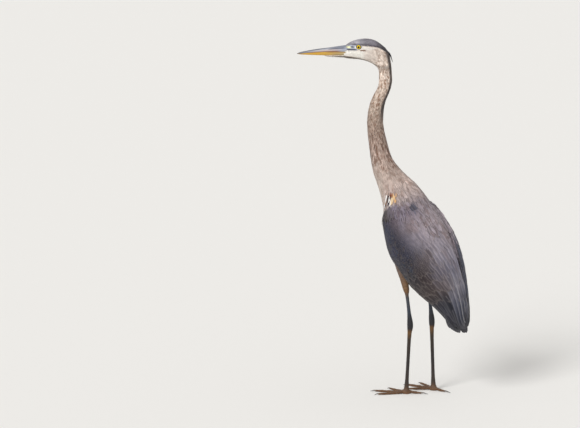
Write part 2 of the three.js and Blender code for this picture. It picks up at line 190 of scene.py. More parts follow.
world = bpy.data.worlds.new("white cloth")
bpy.context.scene.world = world
world.use_nodes = True
sky = world.node_tree
sky.nodes.clear()
seen = add(sky, "ShaderNodeLightPath").outputs
direct = maths(sky, "MAXIMUM", maths(sky, "MAXIMUM", seen["Is Camera Ray"], seen["Is Glossy Ray"]),
               seen["Is Transmission Ray"])
cloth, backdrop = (add(sky, "ShaderNodeBackground", Color=(1, 1, 1, 1), Strength=bright).outputs[0]
                   for bright in (CLOTH_LIGHT, BACKDROP_LIGHT))
both = add(sky, "ShaderNodeMixShader", Fac=direct, in_1=cloth, in_2=backdrop)
add(sky, "ShaderNodeOutputWorld", Surface=both.outputs[0])

key_from = unit(head_left + head_ahead * KEY_AHEAD + UP * KEY_UP)
key = in_scene("key lamp", bpy.data.lights.new("key lamp", "SUN"), way=-key_from)
key.data.energy = KEY_POWER
key.data.angle = KEY_BREADTH

# A painted studio floor: matt and even, so the shadow under the feet stays soft.
floor_finish, floor_tree = finish_named("matt floor paint")
shade(floor_tree, Base_Color=rgba("#edebe7"), Roughness=0.9, Specular_IOR_Level=0.1)
floor_form = bmesh.new()
bmesh.ops.create_circle(floor_form, cap_ends=True, segments=64, radius=FLOOR_REACH)
floor = in_scene("floor", mesh_of(floor_form, "floor"))
floor.data.materials.append(floor_finish)

# ---- Form and skin ---------------------------------------------------------------------------------
# The form is the outline of the feathered bird in one smooth surface, which every feather is laid along.
# The skin is the same surface drawn in by the depth of the feathers on it. It is bare on the lores, the
# lids and the legs, and on a mounted bird it is the tanned skin over the body that fills it.
FORM_VOXEL, SKIN_VOXEL = 0.0018, 0.0016
SKIN_KEPT = 0.4
SEAM = 2e-5
SEAM_FILL = 0.0004
SOCKET_FILL = -0.0008
THROAT_CORNER = (-105, -80, -44, -34)
FORM_ROUNDS, FILLING_ROUNDS, DEPTH_ROUNDS, SKIN_ROUNDS = 30, 80, 12, 6
COAT_DEPTH = {"head": 2.0, "neck": 4.0, "trunk": 8.0, "wing": 6.0, "thigh": 3.5, "leg": 0.0}
GROUPS = list(COAT_DEPTH)
LEG_PARTS = ("shank", "ankle", "tarsus", "foot")
flesh = {"head": "head", "neck_upper": "neck", "neck_middle": "neck", "neck_lower": "neck", "trunk": "trunk"}
for side in SIDES:
    flesh[f"wing_{side}_coverts"] = "wing"
    flesh[f"thigh_{side}"] = "thigh"
    flesh.update({f"{part}_{side}": "leg" for part in LEG_PARTS})
    flesh.update({f"toe_{side}_{toe}": "leg" for toe in TOES})


def solid(node):
    """The mesh of a CAD node."""
    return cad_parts[node].data


def joined_copy(grown):
    """One bmesh of copies of CAD nodes, each with its seams merged and grown by its own amount."""
    joined = bmesh.new()
    for node, grow in grown.items():
        part = bmesh.new()
        part.from_mesh(solid(node))
        bmesh.ops.remove_doubles(part, verts=part.verts, dist=SEAM)
        part.normal_update()
        for vert in part.verts:
            vert.co += vert.normal * grow
        mesh = mesh_of(part)
        joined.from_mesh(mesh)
        bpy.data.meshes.remove(mesh)
    return joined


def modified(mesh, kind, **settings):
    """The mesh that one modifier makes of another."""
    helper = in_scene("helper", mesh)
    modifier = helper.modifiers.new("making", kind)
    for name, value in settings.items():
        setattr(modifier, name, value)
    graph = bpy.context.evaluated_depsgraph_get()
    made = bpy.data.meshes.new_from_object(helper.evaluated_get(graph))
    bpy.data.objects.remove(helper)
    return made


def read(items, field, width, kind=np.float32):
    flat = np.empty(len(items) * width, kind)
    items.foreach_get(field, flat)
    return flat.reshape(-1, width)


def places_of(mesh):
    return read(mesh.vertices, "co", 3).astype(float)


def edges_of(mesh):
    return read(mesh.edges, "vertices", 2, np.int32)


def shaped(mesh, points, outward=False):
    """A mesh with its points moved, its shading smooth, and its faces turned outward if asked."""
    mesh.vertices.foreach_set("co", points.astype(np.float32).ravel())
    if outward:
        form = bmesh.new()
        form.from_mesh(mesh)
        bmesh.ops.recalc_face_normals(form, faces=form.faces)
        form.to_mesh(mesh)
        form.free()
    mesh.polygons.foreach_set("use_smooth", [True] * len(mesh.polygons))
    mesh.update()
    return mesh


def averager(mesh):
    """A function that gives the mean of each vertex's neighbours in a mesh."""
    edges, count = edges_of(mesh), len(mesh.vertices)
    ends = np.concatenate((edges[:, 0], edges[:, 1]))
    others = np.concatenate((edges[:, 1], edges[:, 0]))
    degree = np.maximum(np.bincount(ends, minlength=count), 1)

    def mean(values):
        columns = [np.bincount(ends, values[others, i], count) / degree for i in range(values.shape[1])]
        return np.stack(columns, 1)

    return mean


def smoothed(points, mean, rounds, share=0.5, back=-0.52):
    """Evens a surface out without shrinking it: each round draws it in and lets it out again."""
    for _ in range(rounds):
        points = points + (mean(points) - points) * share
        points = points + (mean(points) - points) * back
    return points


def outer_shell(mesh):
    """Drops every shell of a mesh but the one with the most vertices."""
    edges = edges_of(mesh)
    label = np.arange(len(mesh.vertices))
    while True:
        low = np.minimum(label[edges[:, 0]], label[edges[:, 1]])
        new = label.copy()
        np.minimum.at(new, edges[:, 0], low)
        np.minimum.at(new, edges[:, 1], low)
        new = new[new]
        if np.array_equal(new, label):
            break
        label = new
    shell = np.bincount(label).argmax()
    form = bmesh.new()
    form.from_mesh(mesh)
    form.verts.ensure_lookup_table()
    spare = [form.verts[i] for i in np.flatnonzero(label != shell)]
    bmesh.ops.delete(form, geom=spare, context="VERTS")
    form.to_mesh(mesh)
    form.free()


def soft(value, low, high):
    """Eases from 0 at low to 1 at high."""
    share = np.clip((value - low) / (high - low), 0, 1)
    return share * share * (3 - 2 * share)


grown = {node: SEAM_FILL for node in flesh}
grown.update({f"eye_{side}": SOCKET_FILL for side in SIDES})
form = modified(mesh_of(joined_copy(grown)), "REMESH", mode="VOXEL", voxel_size=FORM_VOXEL)
outer_shell(form)
mean = averager(form)
form_points = smoothed(places_of(form), mean, FORM_ROUNDS)
_, _, above = in_head(form_points)
corner = soft(above, *THROAT_CORNER[:2]) * (1 - soft(above, *THROAT_CORNER[2:]))
down, _, angle = in_body(form_points)
step_end = np.interp(angle, (0, 40), (75, 112))
corner += soft(down, 12, 34) * (1 - soft(down, step_end, step_end + 25)) * soft(angle, -62, -46)
for _ in range(FILLING_ROUNDS):
    form_points += (mean(form_points) - form_points) * 0.5 * corner[:, None]
shaped(form, form_points)
form_faces = [tuple(face.vertices) for face in form.polygons]
form_tree = BVHTree.FromPolygons(form_points.tolist(), form_faces)

flesh_points, flesh_faces, flesh_groups = [], [], []
for node, group in flesh.items():
    mesh = solid(node)
    flesh_faces += [[v + len(flesh_points) for v in face.vertices] for face in mesh.polygons]
    flesh_groups += [GROUPS.index(group)] * len(mesh.polygons)
    flesh_points += [vert.co[:] for vert in mesh.vertices]
flesh_groups = np.array(flesh_groups)
flesh_tree = BVHTree.FromPolygons(flesh_points, flesh_faces)


def nearest(tree, points):
    """The nearest places on a surface, its normals there and its faces."""
    found = [tree.find_nearest(place) for place in points.tolist()]
    places = np.array([hit[0][:] for hit in found])
    normals = np.array([hit[1][:] for hit in found])
    return places, normals, np.array([hit[2] for hit in found])


LORE_TOP, LORE_FOOT = 5.5, -11.5
BARE_DEPTH = 0.7


def bareness(points):
    """1 on the bare skin of the lores, between the eye and the bill, and 0 where feathers grow."""
    ahead, left, above = in_head(points)
    reach = soft(ahead, 4, 8) * soft(np.abs(left), 6, 9)
    return reach * (1 - soft(above, LORE_TOP - 1, LORE_TOP + 1)) * soft(above, LORE_FOOT - 1, LORE_FOOT + 1)


form_group = flesh_groups[nearest(flesh_tree, form_points)[2]]
depths = np.array(list(COAT_DEPTH.values()))[form_group] / 1000
in_front = form_group == GROUPS.index("head")
depths[in_front] += (BARE_DEPTH / 1000 - depths[in_front]) * bareness(form_points[in_front])
for _ in range(DEPTH_ROUNDS):
    depths = mean(depths[:, None])[:, 0]
DRAWING_STEPS = 6
drawn = form.copy()
skin_points = form_points.copy()
covered = np.clip(depths / 0.002, 0, 1)[:, None]
for _ in range(DRAWING_STEPS):
    inward = read(drawn.vertex_normals, "vector", 3).astype(float)
    skin_points -= inward * (depths / DRAWING_STEPS)[:, None]
    for _ in range(3):
        skin_points += (mean(skin_points) - skin_points) * 0.5 * covered
    shaped(drawn, skin_points)
skin_mesh = modified(drawn, "REMESH", mode="VOXEL", voxel_size=SKIN_VOXEL)
outer_shell(skin_mesh)
skin_points = smoothed(places_of(skin_mesh), averager(skin_mesh), SKIN_ROUNDS)
skin_mesh = modified(shaped(skin_mesh, skin_points), "DECIMATE", ratio=SKIN_KEPT)

# The line down the middle of the head, neck and body gives every place its station from the bill to the
# tail, its angle round the line from the back, and the way that feathers lie there.
HEAD_STATIONS = (36, 20, 4, -12, -28, -44)
NECK_STATIONS = np.arange(0.985, 0.705, -0.02)
BODY_STATIONS = range(0, 391, 30)
TAIL_RUN = 0.15
FLOW_REACH = 0.014


def centre_between(points, along, low, high):
    part = points[(along > low) & (along < high)]
    return (part.min(0) + part.max(0)) / 2


def of_group(*names):
    return np.isin(form_group, [GROUPS.index(name) for name in names])


head_points, neck_points = form_points[of_group("head")], form_points[of_group("neck")]
body_points = form_points[of_group("trunk", "wing")]
spine = [centre_between(head_points, in_head(head_points)[0], at - 3, at + 3) for at in HEAD_STATIONS]
spine += [centre_between(neck_points, neck_points[:, 2], at - 0.003, at + 0.003) for at in NECK_STATIONS]
spine += [centre_between(body_points, in_body(body_points)[0], at - 4, at + 4) for at in BODY_STATIONS]
spine += [spine[-1] + down_body * TAIL_RUN]
spine = np.array(spine)
for _ in range(2):
    spine[1:-1] = (spine[:-2] + 2 * spine[1:-1] + spine[2:]) / 4
    cut = np.repeat(spine, 2, axis=0)[:-1]
    cut[1::2] = (spine[:-1] + spine[1:]) / 2
    spine = cut
spine_steps = np.linalg.norm(np.diff(spine, axis=0), axis=1)
spine_stations = np.concatenate(([0], np.cumsum(spine_steps)))
spine_ways = unit(np.gradient(spine, axis=0))
lefts = unit(head_left + (LEFT - head_left) * soft(spine_stations, 0.06, 0.18)[:, None])


def along_spine(points):
    """The station of each point, its angle round the line from the back with the left above zero, and
    the way feathers lie there."""
    apart = ((points[:, None] - spine[None]) ** 2).sum(2)
    share = np.exp(-(apart - apart.min(1, keepdims=True)) / (2 * FLOW_REACH ** 2))
    share /= share.sum(1, keepdims=True)
    way = unit(share @ spine_ways)
    left = unit(share @ lefts)
    away = points - share @ spine
    backward = np.cross(left, way)
    around = np.degrees(np.arctan2((away * left).sum(1), (away * backward).sum(1)))
    return share @ spine_stations, around, way


# ---- Markings --------------------------------------------------------------------------------------
# Feathers take their colours from the zones of a young bird's plumage: a slate cap, white cheek, buff
# neck mottled with grey, pale grey-brown back, and rufous thighs. The top of the back is painted lighter
# still, as painted light, and a dark line of painted shade runs down the back of the neck. The skin under
# them is stained alike.
CAP_AHEAD = (-90, -75, -58, -45, 0, 20, 41)
CAP_HEIGHT = (-22, -12, -3, 0, 5, 4.5, 3.5)
JAW_AHEAD = (-60, -25, 0, 22, 40)
JAW_HEIGHT = (-64.6, -47.6, -40.1, -36.1, -34.1)
NECK_HEIGHTS = (0.60, 0.68, 0.74, 0.80, 0.85, 0.95, 1.02)
NECK_COLOURS = ("#bba79e", "#a8948b", "#a69186", "#a08c7f", "#b3a193", "#dfcec0", "#e6d6ca")
THIGH = ((0.31, 0.33, 0.37, 0.42), ("#75502f", "#795a3a", "#705848", "#766962"))
LEG = ((0.0, 0.03, 0.10, 0.17, 0.195, 0.205, 0.235, 0.26, 0.30, 0.318),
       ("#6a4a2e", "#332922", "#252020", "#33291f", "#654622", "#1e1c20", "#1b1b20", "#2d3440", "#3f4248",
        "#644628"))
TRUNK = ((-60, 0, 32, 62, 200, 330), ("#b19e92", "#bca9a1", "#aa9a96", "#8d8286", "#93888f", "#817a88"))


def mixed(ground, *layers):
    """Colours with others laid over them in turn: each is a code or more colours, and how far they go
    toward it."""
    for over, share in zip(layers[::2], layers[1::2]):
        over = colour(over) if isinstance(over, str) else over
        ground = ground + (over - ground) * np.asarray(share)[:, None]
    return ground


def colours(codes):
    return np.array([colour(code) for code in codes])


def graded(value, places, codes):
    """Colours along a run of named ones."""
    table = colours(codes)
    return np.stack([np.interp(value, places, table[:, i]) for i in range(3)], 1)


def spot(x, y, half_x, half_y):
    """1 inside an ellipse and 0 well outside it."""
    return 1 - soft((x / half_x) ** 2 + (y / half_y) ** 2, 0.6, 1.5)


def hind_neck_shade(points):
    """1 on a dark line of painted shade that runs from the cap down the back of the neck."""
    _, around, _ = along_spine(points)
    narrow = np.interp(points[:, 2], (0.88, 0.97), (16, 5))
    return (1 - soft(np.abs(around), narrow, narrow + 18)) * soft(points[:, 2], 0.8, 0.87)


def head_colours(points):
    ahead, left, above = in_head(points)
    cap = above - np.interp(ahead, CAP_AHEAD, CAP_HEIGHT)
    jaw = above - np.interp(ahead, JAW_AHEAD, JAW_HEIGHT)
    chin, flank = 1 - soft(jaw, 2, 6), soft(np.abs(left), 3, 7)
    ground = mixed(
        graded(ahead, (-80, -50, -20), ("#e6d6c9", "#d9ccc1", "#e4d9cf")),
        "#eee7df", spot(ahead + 22, above + 5, 26, 5),
        "#f6f2ea", soft(ahead, -24, -8) * soft(jaw, 5, 8) * (1 - soft(above, -14, -10)),
        "#6f645c", chin * flank,
        "#dcd3c8", (1 - flank) * chin,
        "#8a6a59", spot(ahead + 13, above + 11, 9, 2.0),
        # painted shade: the dark line down the back of the head
        "#30292d", hind_neck_shade(points) * soft(-ahead, 56, 68) * 0.93)
    crown = mixed(
        colour("#55505a"), "#88848d", soft(cap, 2, 9),
        "#bfbbc3", soft(ahead, -25, 10) * soft(cap, 1, 8),
        "#9b979f", soft(ahead, 12, 30),
        "#3c383f", 1 - soft(ahead, -80, -45))
    lore = mixed(
        colour("#a3a6b2"), "#474a56", spot(ahead - 26, above + 8.7, 28, 2.0),
        "#e3e4b4", spot(ahead - 31, above + 2.2, 7.5, 3.0),
        "#5a5c68", spot(ahead - 19.5, above + 0.5, 5, 2.6))
    return mixed(ground, crown, soft(cap, -1.2, 1.4), lore, bareness(points),
                 "#eeebe4", spot(ahead - 9.8, above + 1, 2.6, 4))


def neck_colours(points):
    _, around, _ = along_spine(points)
    # Painted shade: the dark line down the back of the neck.
    return mixed(graded(points[:, 2], NECK_HEIGHTS, NECK_COLOURS), "#30292d", hind_neck_shade(points) * 0.93,
                 "#ddd2c8", soft(np.abs(around), 140, 168) * 0.6)


def body_colours(points):
    down, _, angle = in_body(points)
    # Painted light: from 45 degrees round toward the back, the colour is made up to 30% lighter.
    ground = graded(down, *TRUNK) * (1 + 0.3 * soft(angle, 45, 75)[:, None])
    return mixed(
        ground, "#b9aaa0", 1 - soft(angle, -50, -25),
        "#484a59", 0.8 * spot(down - 80, angle - 41, 15, 11) * ((points - shoulder) @ LEFT > 0),
        "#b7ada4", (1 - soft(angle, -75, -50)) * soft(down, 90, 150) * (1 - soft(down, 170, 210)),
        "#8f857c", (1 - soft(angle, -60, -30)) * soft(down, 170, 220),
        "#464350", (soft(down, 42, 52) * (1 - soft(down, 75, 95)) * (1 - soft(angle, -10, 10))
                    * soft(angle, -64, -52)))


painters = {"head": head_colours, "neck": neck_colours, "trunk": body_colours, "wing": body_colours,
            "thigh": lambda points: graded(points[:, 2], *THIGH),
            "leg": lambda points: graded(points[:, 2], *LEG)}


def group_of(points):
    """The part of the bird that each place belongs to, with a toothed line between head, neck and body."""
    tooth = np.sin(points[:, 0] * 1900) * np.cos(points[:, 1] * 1700) * soft(points[:, 2], 0.5, 0.6)
    return flesh_groups[nearest(flesh_tree, points + UP * (0.007 * tooth)[:, None])[2]]


def ground_colours(points):
    """The ground colour at each place, by the part of the bird that it belongs to, eased from part to
    part along the neck."""
    group = flesh_groups[nearest(flesh_tree, points)[2]]
    ground = np.empty((len(points), 3))
    for name, painter in painters.items():
        own = group == GROUPS.index(name)
        if own.any():
            ground[own] = painter(points[own])
    for below, over, low, high in (("neck", "head", 0.97, 1.02), ("trunk", "neck", 0.64, 0.74)):
        near = np.isin(group, [GROUPS.index(below), GROUPS.index(over)])
        near &= (points[:, 2] > low) & (points[:, 2] < high)
        share = soft(points[near, 2], low, high)[:, None]
        ground[near] = painters[below](points[near]) * (1 - share) + painters[over](points[near]) * share
    return ground


def store(mesh, name, values):
    """Puts one value or one colour for each vertex on a mesh."""
    values = np.asarray(values, np.float32)
    if values.ndim == 1:
        mesh.attributes.new(name, "FLOAT", "POINT").data.foreach_set("value", values)
    else:
        whole = np.concatenate((values, np.ones((len(values), 1), np.float32)), 1)
        mesh.attributes.new(name, "FLOAT_COLOR", "POINT").data.foreach_set("color", whole.ravel())


def ranged(tree, value, low, high, start=0.0, end=1.0, kind="LINEAR"):
    """A value's run from start to end, spread from low to high."""
    return add(tree, "ShaderNodeMapRange", {"interpolation_type": kind}, Value=value, From_Min=start,
               From_Max=end, To_Min=low, To_Max=high).outputs["Result"]


def noisy(tree, place, scale, detail=2.0):
    return add(tree, "ShaderNodeTexNoise", Vector=place, Scale=scale, Detail=detail).outputs["Fac"]


def scaled(tree, tint, by):
    return add(tree, "ShaderNodeVectorMath", {"operation": "SCALE"}, in_0=tint, Scale=by).outputs[0]


def stored(tree, name, output="Fac"):
    """What a mesh's attribute holds."""
    return add(tree, "ShaderNodeAttribute", {"attribute_name": name}).outputs[output]


def piece(name, mesh, material, slot, *nodes):
    """Puts a finished mesh in the scene on the bird's one body, in place of the CAD nodes it stands for."""
    made = in_scene(name, mesh)
    mesh.materials.clear()
    mesh.materials.append(material)
    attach(made, "root")
    if nodes:
        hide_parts(*nodes)


# Tanned skin, dry and dull: fine wrinkles catch the light where it is bare.
WRINKLE = 0.0011
skin_finish, tree = finish_named("tanned bird skin")
place = add(tree, "ShaderNodeTexCoord").outputs["Object"]
stained = scaled(tree, stored(tree, "ground", "Color"), ranged(tree, noisy(tree, place, 140.0), 0.84, 1.14))
shade(tree, noisy(tree, place, 1 / WRINKLE, 3.0), 0.35, 0.0003, Base_Color=stained, Roughness=0.55,
      Specular_IOR_Level=0.35)
piece("skin", skin_mesh, skin_finish, "leg_scales", *flesh)
store(skin_mesh, "ground", ground_colours(places_of(skin_mesh)))

# ---- Eyes and lids ---------------------------------------------------------------------------------
# Glass eyes, as a museum sets them: the pupil, yellow iris and dark rim are painted on a low dome under a
# clear glossy coat.
# Each sits in the lids, two rings of bare skin that close over the eye's edge.
GAZE_AHEAD, GAZE_UP = 0.16, -0.04
IRIS_REACH = math.radians(51)
DOME_RISE = 0.0003
LID_THICK, ORBIT_THICK = 0.0008, 0.0012
LID_REACH, ORBIT_REACH = IRIS_REACH + 0.03, IRIS_REACH + 0.24
LID_CLEAR = 0.0001
eye_radius = (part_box("eye_left")[1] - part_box("eye_left")[0])[2] / 2


def set_to(points, origin, out, level):
    """Points made round +Z moved so that +Z is `out` and +X is near `level`."""
    across = unit(np.cross(out, level))
    return origin + points @ np.stack((np.cross(across, out), across, out))


RINGS = ((0.0, "#050505"), (0.42, "#050505"), (0.46, "#a8780f"), (0.55, "#f0cf1d"), (0.8, "#efd22c"),
         (0.9, "#c98f12"), (0.96, "#2a2119"), (1.0, "#141210"))
glass_eye, tree = finish_named("painted glass eye")
rings = add(tree, "ShaderNodeValToRGB", Fac=stored(tree, "gaze"))
for at, code in RINGS[1:-1]:
    rings.color_ramp.elements.new(at)
for element, (at, code) in zip(rings.color_ramp.elements, RINGS):
    element.position, element.color = at, rgba(code)
rays = add(tree, "ShaderNodeTexNoise", Vector=stored(tree, "spoke", "Color"), Scale=9.0).outputs["Fac"]
shade(tree, Base_Color=scaled(tree, rings.outputs["Color"], ranged(tree, rays, 0.75, 1.2)), Roughness=0.3,
      Specular_IOR_Level=0.0, Coat_Weight=0.7, Coat_Roughness=0.02)

lid_form = bmesh.new()
lid_colours = []
for side, centre in eyes.items():
    gaze = unit(head_left * SIDES[side] + head_ahead * GAZE_AHEAD + UP * GAZE_UP)
    ball = bmesh.new()
    bmesh.ops.create_uvsphere(ball, u_segments=56, v_segments=48, radius=eye_radius)
    mesh = mesh_of(ball, f"glass_eye_{side}")
    points = places_of(mesh)
    share = np.clip(np.arccos(np.clip(points[:, 2] / eye_radius, -1, 1)) / IRIS_REACH, 0, 1)
    spokes = points[:, :2] / np.maximum(np.linalg.norm(points[:, :2], axis=1, keepdims=True), 1e-9)
    rise = 1 + DOME_RISE / eye_radius * (1 - share ** 2)
    shaped(mesh, set_to(points * rise[:, None], centre, gaze, head_ahead))
    store(mesh, "gaze", share)
    store(mesh, "spoke", np.column_stack((spokes, share * 0.2)))
    piece(f"glass_eye_{side}", mesh, glass_eye, "eye", f"eye_{side}")
    for reach, thick, code in ((LID_REACH, LID_THICK, "#2f3037"), (ORBIT_REACH, ORBIT_THICK, "#8b8e97")):
        ring = bmesh.new()
        outer = eye_radius + LID_CLEAR
        stand = Matrix.Translation((outer * math.sin(reach), 0, outer * math.cos(reach)))
        stand @= Matrix.Rotation(math.pi / 2, 4, "X")
        bmesh.ops.create_circle(ring, segments=12, radius=thick, matrix=stand)
        bmesh.ops.spin(ring, geom=ring.verts[:] + ring.edges[:], axis=(0, 0, 1), angle=2 * math.pi, steps=64,
                       use_merge=True)
        bmesh.ops.remove_doubles(ring, verts=ring.verts, dist=1e-6)
        bmesh.ops.recalc_face_normals(ring, faces=ring.faces)
        mesh = mesh_of(ring)
        loop = places_of(mesh)
        turn = np.arctan2(loop[:, 1], loop[:, 0])
        loop[:, 2] += np.sin(turn * 17) * thick * 0.12 + np.sin(turn * 29 + 1) * thick * 0.08
        loop[:, :2] *= (1 + 0.05 * np.cos(turn) ** 8 * (np.cos(turn) > 0))[:, None]
        lid_form.from_mesh(shaped(mesh, set_to(loop, centre, gaze, head_ahead)))
        lid_colours += [colour(code)] * len(loop)
lid_mesh = mesh_of(lid_form, "eyelids")
store(lid_mesh, "ground", np.array(lid_colours))
piece("eyelids", lid_mesh, skin_finish, "leg_scales")

# ---- Bill ------------------------------------------------------------------------------------------
# Two horn sheaths over bone, long and straight, with a ridge along the top, a groove that runs forward
# from each nostril, and cutting edges that close on each other. The horn is polished and finely grained.
BILL_ROWS = np.array((
    (31.5, 3.4, -16.4, -31.6, 10.2),
    (59.5, -0.4, -16.4, -31.1, 8.6),
    (89.5, -4.8, -17.0, -30.0, 7.0),
    (124.5, -9.4, -19.2, -28.8, 5.4),
    (159.5, -15.4, -22.0, -27.6, 3.4),
    (181.5, -20.7, -23.8, -26.0, 1.5),
    (188.5, -23.5, -24.1, -24.6, 0.5),
))
BILL_STEPS, BILL_SIDES = 72, 48
UPPER_SHARPNESS, LOWER_SHARPNESS = 1.75, 2.2
MOUTH_GAP = 0.12
LOWER_SHARE = 0.97
GROOVE = (33, 112, 0.50, 0.75)
NOSTRIL = (37, 52, 0.47, 1.5)
GROWTH_LINE = 0.0007


def eased(at, places, values):
    """A smooth curve through values at their places."""
    slopes = np.gradient(values, places)
    i = np.clip(np.searchsorted(places, at) - 1, 0, len(places) - 2)
    step = places[i + 1] - places[i]
    t = (at - places[i]) / step
    return ((2 * t ** 3 - 3 * t ** 2 + 1) * values[i] + (t ** 3 - 2 * t ** 2 + t) * step * slopes[i]
            + (3 * t ** 2 - 2 * t ** 3) * values[i + 1] + (t ** 3 - t ** 2) * step * slopes[i + 1])


def cut_cone(sides, stations):
    """A closed cone of a few sides, 1 tall, with a cut at each station. Vanes and horn are shaped from it."""
    form = bmesh.new()
    bmesh.ops.create_cone(form, cap_ends=True, segments=sides, radius1=1, radius2=0, depth=1)
    bmesh.ops.translate(form, verts=form.verts, vec=(0, 0, 0.5))
    for station in stations[1:-1]:
        everything = form.verts[:] + form.edges[:] + form.faces[:]
        bmesh.ops.bisect_plane(form, geom=everything, plane_co=(0, 0, station), plane_no=(0, 0, 1))
    bmesh.ops.remove_doubles(form, verts=form.verts, dist=1e-5)
    bmesh.ops.recalc_face_normals(form, faces=form.faces)
    return mesh_of(form)


def round_cone(points):
    """How far across and how high each of a cone's points is on its own ring, from -1 to 1."""
    radius = np.maximum(1 - points[:, 2:], 1e-6)
    return (np.clip(points[:, :2] / radius, -1, 1) * (radius > 1e-4)).T


def mandible(upper, painter):
    template = cut_cone(BILL_SIDES, 1 - (1 - np.linspace(0, 1, BILL_STEPS)) ** 1.25)
    points = places_of(template)
    across, high = round_cone(points)
    ahead = BILL_ROWS[0, 0] + points[:, 2] * (BILL_ROWS[-1, 0] - BILL_ROWS[0, 0])
    culmen, meeting, keel, half = (eased(ahead, BILL_ROWS[:, 0], BILL_ROWS[:, i]) for i in range(1, 5))
    power = 2 / (UPPER_SHARPNESS if upper else LOWER_SHARPNESS)
    outward = 1 if upper else -1
    tall = np.abs((culmen if upper else keel) - meeting)
    share = np.where(high * outward > 0, np.abs(high) ** power, 0)
    above = meeting + outward * (MOUTH_GAP / 2 + share * tall)
    wide = np.sign(across) * np.abs(across) ** power * half * (1.0 if upper else LOWER_SHARE)
    if upper:
        for start, end, height, deep in (GROOVE, NOSTRIL):
            along = soft(ahead, start, start + 5) * (1 - soft(ahead, end - 8, end))
            wide -= np.sign(wide) * deep * along * np.exp(-((share - height) * tall / 1.15) ** 2)
    placed = eye_mid + (head_ahead * ahead[:, None] + head_left * wide[:, None] + UP * above[:, None]) / 1000
    store(shaped(template, placed, outward=True), "ground", painter(ahead, share))
    part = "upper" if upper else "lower"
    piece(f"bill_{part}_sheath", template, bill_horn, f"{part}_bill_horn", f"bill_{part}")


def upper_colours(ahead, share):
    side = graded(ahead, (35, 75, 110, 150, 189), ("#9298a8", "#a9a9b3", "#b3b4ba", "#8d8d96", "#45464e"))
    culmen = graded(ahead, (35, 95, 120, 189), ("#6d7280", "#84868f", "#565661", "#4a4a52"))
    return mixed(
        side, culmen, soft(share, 0.6, 0.88),
        "#3a3f52", 0.8 * spot(ahead - 68, (share - 0.62) * 20, 24, 3.0),
        "#b8a39c", 0.7 * spot(ahead - 98, (share - 0.34) * 20, 44, 2.8),
        "#7d4f3f", (1 - soft(share, 0.1, 0.26)) * soft(ahead, 48, 70) * (1 - soft(ahead, 150, 180)))


def lower_colours(ahead, share):
    return mixed(
        graded(ahead, (35, 60, 90, 130, 165, 189),
               ("#b9b08c", "#c0a468", "#c9a04a", "#d0a02f", "#cf9f36", "#8f7b5e")),
        "#8f6238", 0.8 * spot(ahead - 66, (share - 0.12) * 20, 34, 2.4),
        "#8a7a62", 0.7 * spot(ahead - 56, (share - 0.58) * 20, 28, 2.2),
        "#b58540", soft(share, 0.72, 0.98) * 0.6)


def horn_finish(name, roughness):
    """Keratin: a smooth sheath whose growth lines run along it and catch the light."""
    material, tree = finish_named(name)
    level = add(tree, "ShaderNodeVectorRotate", {"rotation_type": "Z_AXIS"},
                Vector=add(tree, "ShaderNodeTexCoord").outputs["Object"],
                Angle=-math.atan2(head_ahead[1], head_ahead[0])).outputs["Vector"]
    drawn = add(tree, "ShaderNodeVectorMath", {"operation": "MULTIPLY"}, in_0=level,
                in_1=(0.05 / GROWTH_LINE, 1 / GROWTH_LINE, 1 / GROWTH_LINE)).outputs[0]
    grain = noisy(tree, drawn, 1.0, 3.0)
    tinted = scaled(tree, stored(tree, "ground", "Color"), ranged(tree, grain, 0.86, 1.12))
    shade(tree, grain, 0.2, 0.0002, Base_Color=tinted, Roughness=roughness)
    return material


bill_horn = horn_finish("polished bill horn", 0.36)
mandible(True, upper_colours)
mandible(False, lower_colours)

# ---- Feathers of the head, neck, body and thighs ---------------------------------------------------
# Contour feathers: soft vanes rooted in the skin that lie toward the tail and overlap like tiles. Each is
# a thin closed vane, laid along the form from its root in the skin to its tip at the form's surface.
PATCH = 0.003
BARB_SPACING = 0.9
BARB_SLOPE = 0.9
CONTOUR_THICK, CONTOUR_LIMITS = 0.009, (0.0001, 0.0003)
CONTOUR_DROOP = 14.0
chance = np.random.default_rng(20)


class Vane:
    """A vane's own points, by the station, the column across and the side that each is on."""

    def __init__(self, sides, stations):
        mesh = cut_cone(sides, stations)
        points = places_of(mesh)
        self.stations = np.array(stations)
        self.columns = np.sin(np.linspace(-np.pi / 2, np.pi / 2, sides // 2 + 1))
        across, self.side = round_cone(points)
        self.row = np.abs(points[:, 2:3] - self.stations).argmin(1)
        self.column = np.abs(across[:, None] - self.columns).argmin(1)
        self.faces = [list(face.vertices) for face in mesh.polygons]
        self.across, self.along = self.columns[self.column], self.stations[self.row]


SMALL = Vane(4, (0, 0.4, 0.8, 1)), ((0, 0.4, 0.8, 1), (0.5, 1.0, 0.62, 0.0))
BROAD = Vane(6, (0, 0.3, 0.6, 0.85, 1)), ((0, 0.3, 0.6, 0.85, 1), (0.35, 0.85, 1.0, 0.66, 0.0))


def laid(tree, roots, flow, lengths, stations, turn):
    """Lines over a surface from their roots, each turned a little from the flow: places, normals and ways
    at each station."""
    places, normals, _ = nearest(tree, roots)
    lines, facings, ways = [places], [normals], []
    for before, after in zip(stations, stations[1:]):
        way = flow(places)
        way = unit(way - normals * (way * normals).sum(1, keepdims=True))
        way = unit(way + np.cross(normals, way) * turn[:, None])
        ways.append(way)
        places, normals, _ = nearest(tree, places + way * (lengths * (after - before))[:, None])
        lines.append(places)
        facings.append(normals)
    ways.append(ways[-1])
    return np.stack(lines, 1), np.stack(facings, 1), np.stack(ways, 1)


def vane_sheet(vane, lines, facings, ways, half_widths, droop):
    """The middle sheet of each vane: its columns across each line, bent down at the edges."""
    across = unit(np.cross(facings, ways))
    spread = half_widths[:, :, None] * vane.columns
    sunk = spread ** 2 * droop
    return (lines[:, :, None] + across[:, :, None] * spread[..., None]
            - facings[:, :, None] * sunk[..., None])


